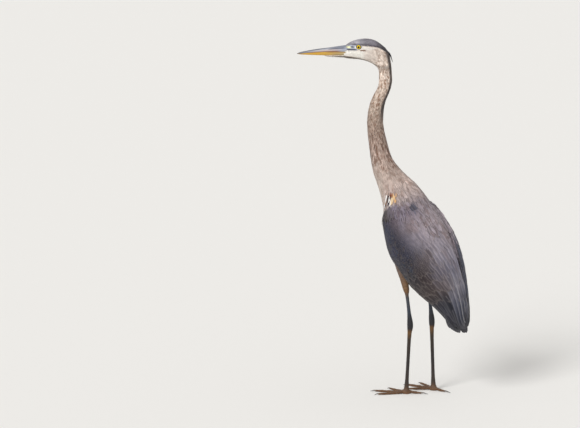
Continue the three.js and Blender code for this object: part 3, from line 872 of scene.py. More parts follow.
def many(name, places, faces):
    """One mesh of many copies of a shape, each with its own points, and the vertex of each face corner."""
    count, points = places.shape[:2]
    corners = np.concatenate(faces)
    totals = np.array([len(face) for face in faces])
    mesh = bpy.data.meshes.new(name)
    mesh.vertices.add(count * points)
    loops = (corners[None] + (np.arange(count) * points)[:, None]).ravel()
    mesh.loops.add(len(loops))
    mesh.loops.foreach_set("vertex_index", loops.astype(np.int32))
    sizes = np.tile(totals, count)
    mesh.polygons.add(len(sizes))
    mesh.polygons.foreach_set("loop_start", np.concatenate(([0], np.cumsum(sizes)[:-1])).astype(np.int32))
    mesh.update(calc_edges=True)
    return shaped(mesh, places), loops


def unwrap(mesh, layer, values, loops):
    uv = mesh.uv_layers.new(name=layer)
    uv.data.foreach_set("uv", values.reshape(-1, 2)[loops].astype(np.float32).ravel())


def feather_mesh(name, vane, sheets, facings, thick, lengths, widths, bake_at, marks):
    """One mesh of many vanes: sheets are their places by station and column, and marks their attributes,
    of which colours may be given for each station."""
    count, points = len(sheets), len(vane.row)
    own = sheets[:, vane.row, vane.column]
    taper = np.interp(vane.along, (0, 0.5, 1), (1.0, 0.8, 0.35))
    own = own + facings[:, vane.row] * (vane.side * taper)[None, :, None] * thick[:, None, None]
    mesh, loops = many(name, own, vane.faces)
    vane_uv = np.stack(((vane.across + 1) / 2, vane.along), 1)
    around = np.stack((vane.across, vane.along * 2 - 1), 1) * PATCH / 2
    unwrap(mesh, "vane", np.tile(vane_uv, (count, 1)), loops)
    unwrap(mesh, "OFBake", bake_at[:, None] + around[None], loops)
    mm_along, mm_across = vane.along * lengths[:, None], np.abs(vane.across) * widths[:, None]
    store(mesh, "barbs", ((mm_along - mm_across * BARB_SLOPE) * 1000 / BARB_SPACING).ravel())
    rim = np.tile((np.abs(vane.across) > 0.99) | (vane.along > 0.999), count)
    sharp = mesh.attributes.new("sharp_edge", "BOOLEAN", "EDGE")
    sharp.data.foreach_set("value", rim[edges_of(mesh)].all(1))
    for key, values in marks.items():
        own = values[:, vane.row].reshape(-1, 3) if values.ndim == 3 else np.repeat(values, points, axis=0)
        store(mesh, key, own)
    return mesh


def vanes(name, kind, lines, facings, ways, droop, thick, lengths, widths, bake_at, marks, material, slot,
          *nodes):
    """A piece of vanes of one kind along their lines. Widths are half of each vane's greatest."""
    vane, outline = kind
    half = widths[:, None] * np.interp(vane.stations, *outline)
    sheets = vane_sheet(vane, lines, facings, ways, half, droop)
    mesh = feather_mesh(name, vane, sheets, facings, thick, lengths, widths, bake_at, marks)
    piece(name, mesh, material, slot, *nodes)


def feather_finish(name, fringe_code, roughness=0.72, fray=0.16):
    """Feather keratin: matt barbs with a faint sheen, pale worn edges, and dark marks down the shaft."""
    material, tree = finish_named(name)
    vane = add(tree, "ShaderNodeUVMap", {"uv_map": "vane"}).outputs["UV"]
    at = add(tree, "ShaderNodeSeparateXYZ", Vector=vane).outputs
    edge = maths(tree, "ABSOLUTE", maths(tree, "SUBTRACT", at["X"], 0.5))
    place = add(tree, "ShaderNodeTexCoord").outputs["Object"]
    stray = maths(tree, "MULTIPLY_ADD", noisy(tree, place, 420.0), fray, -fray / 2)
    loose = maths(tree, "ADD", edge, stray)
    centre = ranged(tree, loose, 1.0, 0.0, 0.12, 0.32, "SMOOTHSTEP")
    marking = maths(tree, "MULTIPLY", centre, stored(tree, "mark"))
    dark = add(tree, "ShaderNodeMix", {"data_type": "RGBA"}, Factor=marking,
               A=stored(tree, "ground", "Color"), B=stored(tree, "accent", "Color"))
    rim = ranged(tree, loose, 0.0, 1.0, 0.32, 0.47, "SMOOTHSTEP")
    tip = ranged(tree, maths(tree, "ADD", at["Y"], stray), 0.0, 1.0, 0.86, 0.98, "SMOOTHSTEP")
    fringe = maths(tree, "MULTIPLY", maths(tree, "MAXIMUM", rim, tip), stored(tree, "fringe"))
    edged = add(tree, "ShaderNodeMix", {"data_type": "RGBA"}, Factor=fringe, A=dark.outputs["Result"],
                B=rgba(fringe_code))
    barbs = maths(tree, "SINE", maths(tree, "MULTIPLY", stored(tree, "barbs"), 2 * math.pi))
    level = ranged(tree, noisy(tree, place, 90.0, 3.0), 0.8, 1.18)
    shaded = scaled(tree, edged.outputs["Result"], maths(tree, "MULTIPLY_ADD", barbs, 0.05, level))
    shade(tree, barbs, 0.3, 0.00015, Base_Color=shaded, Roughness=roughness, Specular_IOR_Level=0.25,
          Sheen_Weight=0.08)
    return material


def indexed(places):
    """A tree of places, to find the near ones by."""
    tree = KDTree(len(places))
    for i, place in enumerate(places):
        tree.insert(place, i)
    tree.balance()
    return tree


def seeded(wanted, spacing_of, points=form_points, faces=form_faces):
    """Roots spread over a form where `wanted` says, at least their own spacing in mm apart."""
    corners = points[np.array(faces)[:, :4]]
    centres = corners.mean(1)
    use = wanted(centres)
    corners, centres = corners[use], centres[use]
    gap = spacing_of(centres)
    area = np.linalg.norm(np.cross(corners[:, 2] - corners[:, 0], corners[:, 3] - corners[:, 1]), axis=1) / 2
    hopes = area / (gap / 1000) ** 2
    tries = chance.choice(len(corners), int(hopes.sum() * 7), p=hopes / hopes.sum())
    a, b = chance.random((2, len(tries), 1))
    quad = corners[tries]
    places = (quad[:, 0] * (1 - a) + quad[:, 1] * a) * (1 - b) + (quad[:, 3] * (1 - a) + quad[:, 2] * a) * b
    tree = indexed(places)
    free = np.ones(len(places), bool)
    kept = []
    for i in range(len(places)):
        if free[i]:
            kept.append(i)
            for _, other, _ in tree.find_range(places[i], gap[tries[i]] / 1000):
                free[other] = False
    return places[kept]


def uncovered(own, centres, reach=0.05):
    """Those of its own places that nothing of the form lies close over."""
    places, normals, _ = nearest(form_tree, centres[own])
    starts = places + normals * 0.003
    hits = [form_tree.ray_cast(place, way, reach)[0] for place, way in zip(starts.tolist(), normals.tolist())]
    own[own] = [hit is None for hit in hits]
    return own


def marked(ground, accent, mark, fringe):
    """The attributes of a run of feathers: their colours, the share of those that is down the shaft, and
    how strong the dark mark there and the pale fringe are."""
    none = np.zeros(len(ground))
    return {"ground": ground, "accent": ground * accent, "mark": none + mark, "fringe": none + fringe}


def spine_bake(roots):
    """A place on the unwrap of head, neck and body: the angle round the spine, and the station along it."""
    station, around, _ = along_spine(roots)
    return np.stack((0.02 + 0.96 * (around + 180) / 360, 0.02 + 0.96 * station / spine_stations[-1]), 1)


def spine_flow(points):
    return along_spine(points)[2]


def contour_coat(name, slot, kind, roots, lengths, widths, deep, markings, flow=spine_flow, proud=0.0):
    """A piece of contour feathers of one kind of vane from their roots. Lengths, widths, the depth of the
    coat and how far the tips stand over the form are in mm. Markings gives the attributes by place."""
    stations = kind[0].stations
    lengths = lengths * chance.uniform(0.88, 1.15, len(roots)) / 1000
    widths = widths * chance.uniform(0.88, 1.12, len(roots)) / 2000
    turn = chance.normal(0, 0.11, len(roots))
    lines, facings, ways = laid(form_tree, roots, flow, lengths, stations, turn)
    sink = (1 - stations) ** 2.6 * 0.92
    stand = chance.uniform(-0.2, 0.25, len(roots))[:, None] * stations ** 2 / 1000
    stand = stand + np.outer(np.broadcast_to(proud, len(roots)), stations) / 1000
    marks = markings(lines[:, len(stations) // 2])
    lines = lines + facings * (stand - (deep / 1000)[:, None] * sink)[:, :, None]
    thick = np.clip(lengths * CONTOUR_THICK, *CONTOUR_LIMITS)
    vanes(name, kind, lines, facings, ways, CONTOUR_DROOP, thick, lengths, widths, spine_bake(roots), marks,
          small_feathers, slot)


def in_group(name):
    def test(centres):
        return group_of(centres) == GROUPS.index(name)
    return test


THROAT_LOOSE = 2.5


def head_area(centres):
    ahead, left, above = in_head(centres)
    clear = (np.hypot(ahead, above) > 9.3) & (np.hypot(ahead - 5.5, above) > 8.4)
    return in_group("head")(centres) & (bareness(centres) < 0.5) & (clear | (np.abs(left) < 12))


def head_spacing(centres):
    ahead, _, above = in_head(centres)
    face = soft(ahead, -20, 12)
    near_eye = 1 - soft(np.hypot(ahead, above), 12, 22)
    return 1.42 - 0.2 * face - 0.16 * near_eye


def toned(ground, spreads):
    """Each feather's colour a little lighter or darker than the ground."""
    tone = np.clip(chance.normal(1.0, spreads, len(ground)), 0.55, 1.5)
    return ground * tone.reshape(-1, *[1] * (ground.ndim - 1))


def mottled(ground, roots, size, strength):
    """The ground in soft blotches of about a size in mm, taller than wide, some lighter and some browner."""
    tall = np.interp(roots[:, 2:], (0.78, 0.86), (0.5, 0.9))
    places = roots * 1000 / size * np.concatenate((np.ones((len(roots), 2)), tall), 1)
    level = np.array([noise.noise(Vector(place)) for place in places.tolist()])
    lit = ground * (1 + 1.3 * strength * np.clip(level, 0, 0.5))[:, None]
    return mixed(lit, ground * colour("#bba292") * 1.1, np.clip(-level * 2.6, 0, 1) * strength * 1.5)


def head_marks(places):
    ahead, _, above = in_head(places)
    cap = soft(above - np.interp(ahead, CAP_AHEAD, CAP_HEIGHT), -1, 2)
    streak = (1 - soft(ahead, -75, -35)) * (1 - cap)
    ground = toned(ground_colours(places), 0.07 + 0.07 * np.maximum(streak, cap))
    ground = mottled(ground, places, 6, 0.5 * (1 - cap) * soft(-ahead, 22, 72))
    streaked = np.where(chance.random(len(places)) < 0.35, 0.6, 0.15)
    accent = (0.62 - 0.12 * streak)[:, None]
    return marked(ground, accent, 0.5 * cap + streaked * streak, 0.12 + 0.13 * streak)


small_feathers = feather_finish("soft contour feathers", "#d8ccc2")
roots = seeded(head_area, head_spacing)
ahead, left, above = in_head(roots)
from_eye = np.hypot(ahead, above)
near_eye = 1 - soft(from_eye, 10, 18)
loose = THROAT_LOOSE * soft(ahead, 5, 30) * soft(-28.1 - above, 0, 3) * (1 - soft(np.abs(left), 5, 8))
contour_coat("head_feathers", "head_feathers", SMALL, roots,
             13.5 - 5.7 * soft(ahead, -60, 10) - 3.0 * (1 - soft(from_eye, 11, 24)),
             1.85 - 0.45 * soft(ahead, -60, 10),
             3.0 - 0.9 * soft(ahead, -75, -40) - 1.2 * np.maximum(near_eye, soft(ahead, 20, 40)),
             head_marks, proud=loose)


def neck_marks(places):
    _, around, _ = along_spine(places)
    ground = mottled(toned(ground_colours(places), 0.18), places, 5.5, 0.7)
    low = 1 - soft(places[:, 2], 0.80, 0.90)
    fore = soft(np.abs(around), 95, 140)
    streaked = chance.random(len(places)) < 0.35 + 0.35 * fore
    return marked(ground, colour("#b9ada6") * 0.9, np.where(streaked, 0.65 + 0.3 * low, 0.12),
                  0.25 + 0.35 * fore * low)


NECK_LEVELS = (0.70, 0.80, 0.95, 1.0)
roots = seeded(in_group("neck"),
               lambda centres: np.interp(centres[:, 2], NECK_LEVELS, (2.5, 2.15, 1.75, 1.6)))
lengths = np.interp(roots[:, 2], NECK_LEVELS, (26, 22, 17, 14))
contour_coat("neck_feathers", "neck_feathers", SMALL, roots, lengths, lengths * 0.135,
             np.interp(roots[:, 2], (0.7, 0.8, 1.0), (5.5, 4.0, 3.2)), neck_marks)


def body_spacing(centres):
    return np.interp(in_body(centres)[0], (-90, -20, 40, 120, 380), (2.5, 2.9, 3.6, 4.4, 5.4))


def body_marks(places):
    ground = toned(ground_colours(places), 0.09)
    front = 1 - soft(in_body(places)[2], -40, 0)
    streaked = chance.random(len(places)) < 0.5
    marks = marked(ground, 0.5, np.where(streaked, 0.6 + 0.25 * front, 0.15), 0.18 + 0.2 * front)
    return marks | {"ground": mottled(ground, places, 9, 0.35)}


for name, over in (("back_feathers", 1), ("breast_feathers", -1)):
    def body_area(centres):
        angle = in_body(centres)[2]
        return uncovered(in_group("trunk")(centres) & ((angle > 0) == (over > 0)), centres)

    roots = seeded(body_area, body_spacing)
    down, _, angle = in_body(roots)
    lengths = np.interp(down, (-60, 20, 120, 380), (26, 28, 34, 40))
    contour_coat(name, "body_feathers", BROAD, roots, lengths,
                 lengths * np.interp(down, (-80, -20, 60), (0.135, 0.16, 0.21)),
                 np.interp(down, (-60, 0, 60), (5.5, 7.0, 8.5)), body_marks,
                 proud=-2.2 * soft(down, 120, 160) * soft(angle, -78, -66))


def straight_down(points):
    return np.tile(-UP, (len(points), 1))


def thigh_marks(places):
    return marked(toned(ground_colours(places), 0.1), 0.6, 0.4, 0.15)


roots = seeded(in_group("thigh"), lambda centres: np.full(len(centres), 2.4))
lengths = np.interp(roots[:, 2], (0.32, 0.40), (11.0, 18.0))
contour_coat("thigh_feathers", "thigh_feathers", SMALL, roots, lengths, lengths * 0.24,
             np.interp(roots[:, 2], (0.318, 0.335, 0.4), (0.8, 2.5, 3.8)), thigh_marks, straight_down)

# ---- Patch at the bend of each wing ----------------------------------------------------------------
# Where the neck meets the folded wing, long soft feathers in white, black, rust and buff lie side by side
# over the breast. They root in the skin of the shoulder.
PATCH_FEATHERS = (
    (7, -22, 26, 5.2, "#efedea"), (9, -17, 30, 5.6, "#2c2326"), (7, -9, 20, 4.6, "#7a4630"),
    (9, -3, 19, 4.8, "#93603f"), (14, -13, 32, 5.6, "#f3f0eb"), (16, -8, 21, 5.0, "#352a2d"),
    (10, 3, 32, 9.0, "#d8b285"), (16, -3, 34, 8.5, "#e4caa4"), (23, 2, 31, 8.5, "#cfa473"),
    (21, -7, 30, 5.4, "#f8f1e6"), (29, -14, 26, 5.2, "#eceae8"), (26, -20, 25, 5.4, "#2d2d38"),
    (22, -27, 22, 5.2, "#8a6b56"), (27, -33, 23, 5.2, "#262a39"), (30, -40, 20, 4.6, "#e6e6e8"),
    (15, 9, 22, 7.0, "#b08f74"), (19, -30, 18, 5.0, "#d9d4cf"), (30, -5, 24, 7.0, "#c9a27c"),
)


def on_form(down, angle, side):
    """Places on the form at a level down the body and an angle from the side."""
    out = LEFT * side * np.cos(np.radians(angle))[:, None] + to_back * np.sin(np.radians(angle))[:, None]
    starts = shoulder + down_body * down[:, None] / 1000 + out * 0.15
    return np.array([form_tree.ray_cast(start, -way)[0][:] for start, way in zip(starts.tolist(), out)])


patch_down, patch_angle, patch_long, patch_wide = np.array([row[:4] for row in PATCH_FEATHERS], float).T
patch_colours = colours(row[4] for row in PATCH_FEATHERS)


def patch_flow(points):
    """The lie of the patch, which turns toward the breast."""
    turned = np.interp(in_body(points)[2], (-35, 5), (0.75, 0.25))
    return unit(spine_flow(points) - to_back * turned[:, None])


def patch_marks(places):
    return marked(toned(np.tile(patch_colours, (2, 1)), 0.05), 0.7, 0.2, 0.0)


count = len(PATCH_FEATHERS)
roots = np.concatenate([
    on_form(patch_down + chance.normal(0, 1.2, count), patch_angle + chance.normal(0, 1.0, count), sign)
    for sign in SIDES.values()])
contour_coat("shoulder_patch", "body_feathers", BROAD, roots, np.tile(patch_long, 2), np.tile(patch_wide, 2),
             np.full(len(roots), 1.2), patch_marks, patch_flow, np.tile(1.9 - patch_down * 0.02, 2))

# ---- Closed wings ----------------------------------------------------------------------------------
# Each folded wing is a curved pack of feathers over the flank. Small coverts hide its arm, then rows of
# median and greater coverts, secondaries below them, the long tertials over all, and the primaries' tips.
WING_FROM, WING_TO, WING_LEVEL = 40, 496, 8
WING_END = 474
EDGE_SINK = 0.35
WING_DROOP = 6.0
WING_VOXEL = 0.002
WING_ROUNDS = 25
QUILL_THICK, QUILL_LIMITS = 0.006, (0.00014, 0.0004)


class ClosedWing:
    """One closed wing's outer face, measured down the body from the shoulder in mm and across it as a
    share, from 0 at its lower edge to 1 at its upper edge."""

    def __init__(self, side):
        mesh = mesh_of(joined_copy({f"wing_{side}_{part}": SEAM_FILL for part in ("coverts", "flight")}))
        mesh = modified(mesh, "REMESH", mode="VOXEL", voxel_size=WING_VOXEL)
        self.sign = SIDES[side]
        self.points = smoothed(places_of(mesh), averager(mesh), WING_ROUNDS)
        self.faces = [tuple(face.vertices) for face in mesh.polygons]
        self.tree = BVHTree.FromPolygons(self.points.tolist(), self.faces)
        down, back, _ = in_body(self.points)
        out = np.abs((self.points - shoulder) @ LEFT) * 1000
        self.levels = np.arange(WING_FROM, WING_TO, WING_LEVEL)
        rows = []
        for level in self.levels:
            near = np.abs(down - level) < WING_LEVEL * 0.7
            centre = (back[near].min() + back[near].max()) / 2 if near.any() else np.nan
            angle = np.degrees(np.arctan2(back[near] - centre, out[near])) if near.any() else [np.nan]
            rows.append((centre, np.min(angle), np.max(angle)))
        rows = np.array(rows)
        good = ~np.isnan(rows[:, 0])
        rows = np.stack([np.interp(self.levels, self.levels[good], rows[good, i]) for i in range(3)], 1)
        for _ in range(3):
            rows[1:-1] = (rows[:-2] + 2 * rows[1:-1] + rows[2:]) / 4
        self.centre, self.low, self.high = rows.T

    def at(self, down):
        return [np.interp(down, self.levels, row) for row in (self.centre, self.low, self.high)]

    def share(self, points):
        """How far down and across the wing points are."""
        down, back, _ = in_body(points)
        centre, low, high = self.at(down)
        out = np.abs((points - shoulder) @ LEFT) * 1000
        return down, (np.degrees(np.arctan2(back - centre, out)) - low) / (high - low)

    def place(self, down, share):
        """Places on the wing's outer face, and the normals there. Past the wing's edges they go on across
        the bird toward the other wing, and past its end straight down the body."""
        held = np.minimum(down, WING_END)
        centre, low, high = self.at(held)
        inside = np.clip(share, 0.02, 0.98)
        angle = np.radians(low + (high - low) * inside)
        axis = shoulder + (down_body * held[:, None] + to_back * centre[:, None]) / 1000
        outward = LEFT * self.sign * np.cos(angle)[:, None] + to_back * np.sin(angle)[:, None]
        places, normals = [], []
        for start, way in zip(axis + outward * 0.2, outward):
            hit, normal, _, _ = self.tree.ray_cast(start, -way)
            if hit is None:
                hit, normal, _, _ = self.tree.find_nearest(start - way * 0.16)
            places.append(hit[:])
            normals.append(normal[:])
        places, normals = np.array(places), unit(np.array(normals))
        radius = np.linalg.norm(places - axis, axis=1)
        over = ((share - inside) * np.radians(high - low) * radius)[:, None]
        places = places - LEFT * self.sign * np.abs(over) - to_back * over * EDGE_SINK
        normals = unit(normals + to_back * np.sign(over) * np.minimum(np.abs(over) / 0.008, 1))
        return places + down_body * (down - held)[:, None] / 1000, normals


wings = {side: ClosedWing(side) for side in SIDES}
BAND = ((60, 120, 230, 270, 345, 385), ("#2e2b34", "#252a43", "#20202e", "#201d24", "#3b3231", "#1b1c27"))
UPPER = ((60, 90, 130, 240, 300), ("#786e7c", "#746b7a", "#91868e", "#938c96", "#7c7a8a"))
LONG_QUILLS = ((300, 335, 360, 395, 450), ("#7c7a8a", "#78757f", "#7b7883", "#4f505d", "#303340"))
TURN_DOWN = (90, 150, 200, 300, 340, 360, 390, 420)
TURN_FROM = (0.2, 0.32, 0.36, 0.36, 0.4, 0.52, 0.55, 0.62)
TURN_TO = (0.74, 0.86, 0.95, 1.0, 0.87, 0.86, 0.8, 0.82)
BAND_FLECKS = colours(("#3f3531", "#2c3648", "#4a4649", "#1f2028"))


def in_band(down, share):
    """1 on the dark leading edge of the wing, which narrows toward the flight feathers."""
    edge = np.interp(down, (50, 90, 200, 320), (0.2, 0.36, 0.42, 0.25))
    return 1 - soft(share, edge - 0.12, edge + 0.08)


def wing_colours(down, share):
    upper = np.where(down[:, None] < 300, graded(down, *UPPER), graded(down, *LONG_QUILLS))
    band = graded(down, *BAND)
    turn_from, turn_to = (np.interp(down, TURN_DOWN, ends) for ends in (TURN_FROM, TURN_TO))
    return mixed(band, upper, soft(share, turn_from, turn_to),
                 "#54484a", 0.25 * spot(down - 290, share * 100 - 55, 60, 22),
                 # the wing's ends go nearly black: partly the primaries' own black, partly painted shade
                 "#07080d", 0.75 * soft(down, 430, 490))


def wing_vanes(wing, vane, outline, down, share, lengths, widths, heights, tilt=0.0):
    """The sheets and facings of vanes on a wing, from roots by their place on it. Heights are the depth of
    the root and the height of the tip over the wing's face in mm, and tilt is how far the lower edge
    stands over the upper one."""
    count = len(down)
    steps = len(vane.stations)
    along = down[:, None] + lengths[:, None] * vane.stations
    places, facings = wing.place(along.ravel(), np.repeat(share, steps))
    lines, facings = places.reshape(count, steps, 3), facings.reshape(count, steps, 3)
    facings[:, 1:-1] = unit(facings[:, :-2] + facings[:, 1:-1] + facings[:, 2:])
    ways = unit(np.gradient(lines, axis=1))
    sunk, proud = heights
    rise = proud * vane.stations - sunk * (1 - vane.stations) ** 1.8
    stray = chance.uniform(-0.15, 0.15, count)[:, None, None]
    lines = lines + facings * (rise[None, :, None] / 1000 + stray / 1000)
    half = widths[:, None] / 2000 * np.interp(vane.stations, *outline)
    sheets = vane_sheet(vane, lines, facings, ways, half, WING_DROOP)
    # across is facing x way, which runs to the upper edge on the left wing and to the lower on the right
    lean = -vane.columns * wing.sign * tilt / 1000
    return sheets + facings[:, :, None] * lean[None, None, :, None], facings


def wing_bake(down, share):
    along = 0.03 + 0.94 * (down - WING_FROM) / (WING_TO - WING_FROM)
    return np.stack((0.04 + 0.92 * np.clip(share, 0, 1), along), 1)


def row_of(wing, down, share_from, share_to, gap):
    """Roots of one row across the wing, at a level that may slope, `gap` mm apart."""
    trial = np.linspace(share_from, share_to, 40)
    places, _ = wing.place(down(trial), trial)
    run = np.concatenate(([0], np.cumsum(np.linalg.norm(np.diff(places, axis=0), axis=1)))) * 1000
    count = max(2, int(run[-1] / gap))
    share = np.interp(np.linspace(0, run[-1], count), run, trial)
    return down(share) + chance.normal(0, 1.2, count), share


class Tract:
    """Vanes of one kind on one wing, gathered until they are made a mesh. The left wing closes over the
    right one, whose upper edge is painted dark as shade."""

    def __init__(self, wing, vane):
        self.wing, self.vane, self.runs = wing, vane, []

    def grow(self, outline, down, share, lengths, widths, heights, mark, fringe, spreads=0.06, tilt=0.0):
        lengths = lengths * chance.uniform(0.95, 1.05, len(down))
        widths = widths * chance.uniform(0.95, 1.05, len(down))
        lengths = np.minimum(lengths, WING_TO - (2 if self.wing.sign > 0 else 20) - down)
        sheets, facings = wing_vanes(self.wing, self.vane, outline, down, share, lengths, widths, heights,
                                     tilt)
        along = (down[:, None] + lengths[:, None] * self.vane.stations).ravel()
        across = np.repeat(share, len(self.vane.stations))
        ground = wing_colours(along, across)
        # Painted shade: the right wing's upper edge, under the left wing, goes navy from about 170 mm down.
        if self.wing.sign < 0:
            ground = mixed(ground, "#1f2a44", 0.85 * soft(across + 0.12 * soft(along, 340, 420), 0.84, 0.92)
                           * soft(along, 170, 250))
        else:
            # Painted shade: navy along the near wing's upper edge toward its end, in the groove down the
            # back.
            ground = mixed(ground, "#1e2840", 0.9 * soft(across, 0.96, 1.01) * soft(along, 345, 375),
                           "#1e2840", 0.9 * soft(across, 0.9, 0.96) * soft(along, 395, 420))
            # Painted light: the near wing is made up to 14% lighter high on it from 250 to 380 mm down, and
            # up to 25% lighter along its upper edge near the front.
            lit = 0.14 * soft(across, 0.8, 0.88) * soft(along, 250, 290) * (1 - soft(along, 350, 380))
            ground *= (1 + lit)[:, None]
            ground *= 1 + 0.25 * (soft(across, 0.92, 1.06) * (1 - soft(along, 150, 200)))[:, None]
        blotch = mottled(np.ones((len(down), 3)), sheets[:, 2, 0], 24, 0.28)
        ground = toned(ground.reshape(len(down), -1, 3), spreads) * blotch[:, None]
        flecked = in_band(down, share) * (down < 240) > chance.random(len(down)) * 2.0
        flecks = BAND_FLECKS[chance.integers(len(BAND_FLECKS), size=len(down))]
        ground += (flecks[:, None] - ground) * (flecked * 0.5)[:, None, None]
        self.runs.append((sheets, facings, lengths / 1000, widths / 2000, wing_bake(down, share),
                          marked(ground, 0.6, mark, fringe)))

    def made(self, name, slot, material, *nodes):
        *shapes, marks = zip(*self.runs)
        sheets, facings, lengths, widths, bake_at = (np.concatenate(rows) for rows in shapes)
        marks = {key: np.concatenate([each[key] for each in marks]) for key in marks[0]}
        thick = np.clip(lengths * QUILL_THICK, *QUILL_LIMITS)
        piece(name, feather_mesh(name, self.vane, sheets, facings, thick, lengths, widths, bake_at, marks),
              material, slot, *nodes)


COVERT_VANE = Vane(8, (0, 0.3, 0.55, 0.78, 0.93, 1))
QUILL_VANE = Vane(10, (0, 0.15, 0.3, 0.45, 0.6, 0.75, 0.86, 0.93, 0.975, 1))
PETAL_TIP = ((0, 0.3, 0.55, 0.78, 0.93, 1), (0.35, 0.8, 1.0, 0.88, 0.5, 0.0))
LONG_TIP = ((0, 0.1, 0.3, 0.6, 0.8, 0.93, 1), (0.25, 0.7, 0.95, 1.0, 0.85, 0.5, 0.0))
LANCE_TIP = ((0, 0.2, 0.5, 0.75, 0.9, 1), (0.3, 0.8, 1.0, 0.72, 0.34, 0.0))
BLUNT_TIP = ((0, 0.1, 0.3, 0.7, 0.86, 0.93, 0.975, 1), (0.3, 0.7, 0.95, 1.0, 0.93, 0.78, 0.5, 0.0))
TERTIAL_ENDS = (456, 474, 486, 490, 484, 470, 452)
TERTIAL_FRINGES = (0.1, 0.1, 0.1, 0.12, 0.2, 0.5, 0.6)
covert_feathers = feather_finish("wing covert feathers", "#c3b6af")
quill_feathers = feather_finish("flight feathers", "#a9a6a8", 0.6, 0.04)

for side, wing in wings.items():
    near = side == "left"

    def outer_face(centres):
        down, share = wing.share(centres)
        _, normals, _ = nearest(wing.tree, centres)
        away = centres - shoulder
        away -= down_body * (away @ down_body)[:, None]
        return ((normals * unit(away)).sum(1) > 0.25) & (down > 54) & (down < 232) & (share < 0.9)

    def covert_spacing(centres):
        down, share = wing.share(centres)
        return np.interp(down, (40, 100, 200), (3.1, 3.9, 5.2)) - 0.4 * in_band(down, share)

    down, share = wing.share(seeded(outer_face, covert_spacing, wing.points, wing.faces))
    band = in_band(down, share)
    lesser = Tract(wing, COVERT_VANE)
    for chosen, outline, wide, mark, fringe in (
            (band > 0.5, PETAL_TIP, 0.36, 0.5, 0.09), (band <= 0.5, LANCE_TIP, 0.22, 0.35, 0.14)):
        lengths = np.interp(down[chosen], (40, 100, 230), (18, 28, 48)) - 6 * band[chosen]
        lesser.grow(outline, down[chosen], share[chosen], lengths, lengths * wide, (5.0, 0.15), mark, fringe,
                    0.08)
    lesser.made(f"wing_{side}_lesser_coverts", "wing_coverts", covert_feathers)

    larger = Tract(wing, COVERT_VANE)
    for level, reach, length, wide, gap in (
            (214, 0.8, 62, 15, 7.5), (238, 0.78, 70, 17, 8.5), (262, 0.75, 80, 20, 10),
            (286, 0.6, 88, 22, 11)):
        down, share = row_of(wing, lambda f: level + 22 * f, 0.02, reach, gap)
        down = down + chance.normal(0, 4.0, len(down))
        larger.grow(LONG_TIP, down, share, length, wide, (4.2, -0.1), 0.5, 0.13, 0.1, 0.5)
    larger.made(f"wing_{side}_greater_coverts", "wing_coverts", covert_feathers)

    flight = Tract(wing, QUILL_VANE)
    down, share = row_of(wing, lambda f: 300 - 18 * f, 0.05, 0.7, 9.5)
    flight.grow(BLUNT_TIP, down, share, np.linspace(116, 168, len(down)), 24, (3.4, -1.4), 0.4, 0.1, tilt=0.7)
    flight.grow(BLUNT_TIP, np.full(10, 300.0), np.linspace(0.04, 0.8, 10), np.linspace(160, 194, 10), 22,
                (5.0, -1.6), 0.3, 0.08, tilt=0.6)
    share, down = np.linspace(0.48, 1.0 if near else 0.88, 7), np.linspace(288, 260, 7)
    flight.grow(BLUNT_TIP, down, share, np.array(TERTIAL_ENDS) - down, np.linspace(44, 26, 7), (3.6, -0.2),
                0.5, TERTIAL_FRINGES, tilt=0.6)
    flight.made(f"wing_{side}_flight_feathers", "flight_feathers", quill_feathers, f"wing_{side}_flight")

    scapulars = Tract(wing, COVERT_VANE)
    crossing, proud = (1.16, 1.3) if near else (0.98, 0.5)
    for level, share_from, length, wide, gap in (
            (66 if near else 100, 0.72, 56, 14, 7), (88 if near else 104, 0.7, 66, 15, 8),
            (116, 0.7, 78, 17, 9), (146, 0.69, 88, 18, 9.5), (176, 0.69, 98, 19, 10),
            (206, 0.69, 106, 20, 10.5), (240, 0.71, 112, 20, 11), (276, 0.78, 116, 20, 11)):
        share_to = min(1.02, crossing) if level < 100 else crossing
        down, share = row_of(wing, lambda f: level + 8 * f, share_from, share_to, gap)
        down = down + chance.normal(0, 4.0, len(down))
        heights = (7.0, 0.4) if level < 100 else (4.5, proud)
        scapulars.grow(LANCE_TIP, down, share, length, wide, heights, 0.6, 0.2, 0.1, 0.4)
    scapulars.made(f"wing_{side}_scapulars", "wing_coverts", covert_feathers)

# ---- Mantle ----------------------------------------------------------------------------------------
# The feathers of the upper back and shoulders, long enough to lie over the front of both wings, so that
# no seam shows where the wings fold against the body.
MANTLE_DOWN = (-20, 150)
MANTLE_EDGE = ((36, 40, 52, 62, 110), (2, -62, -62, 0, 42))


def mantle_area(centres):
    down, _, angle = in_body(centres)
    own = (down > MANTLE_DOWN[0]) & (down < MANTLE_DOWN[1]) & (angle > np.interp(down, *MANTLE_EDGE))
    return uncovered(own, centres, 0.02)


def mantle_marks(places):
    down, share = wings["left"].share(places)
    angle = in_body(places)[2]
    over_wing = soft(down, 42, np.interp(angle, (-10, 30), (58, 96))) * (1 - 0.7 * soft(angle, 34, 54))
    over_wing = over_wing[:, None]
    ground = mixed(
        ground_colours(places) * (1 - over_wing) + wing_colours(down + 8, share) * over_wing,
        "#3f3a3b", 0.75 * soft(down, 42, 54) * (1 - soft(angle, -34, 4)),
        "#484a59", 0.8 * spot(down - 78, angle - 41, 14, 10) * ((places - shoulder) @ LEFT > 0))
    marks = marked(ground, 0.45, np.where(chance.random(len(places)) < 0.4, 0.85, 0.15), 0.15)
    return marks | {"ground": mottled(toned(ground, 0.09), places, 9, 0.35)}


roots = seeded(mantle_area, lambda centres: np.interp(in_body(centres)[0], MANTLE_DOWN, (4.2, 6.4)))
down, _, angle = in_body(roots)
over_front = soft(down, 36, 46) * (1 - soft(down, 78, 104)) * (1 - soft(angle, 34, 50))
lengths = np.interp(down, MANTLE_DOWN, (28, 56))
contour_coat("mantle_feathers", "body_feathers", BROAD, roots, lengths, lengths * 0.2,
             np.interp(down, MANTLE_DOWN, (5.5, 3.5)), mantle_marks, proud=1.3 + 1.4 * over_front)

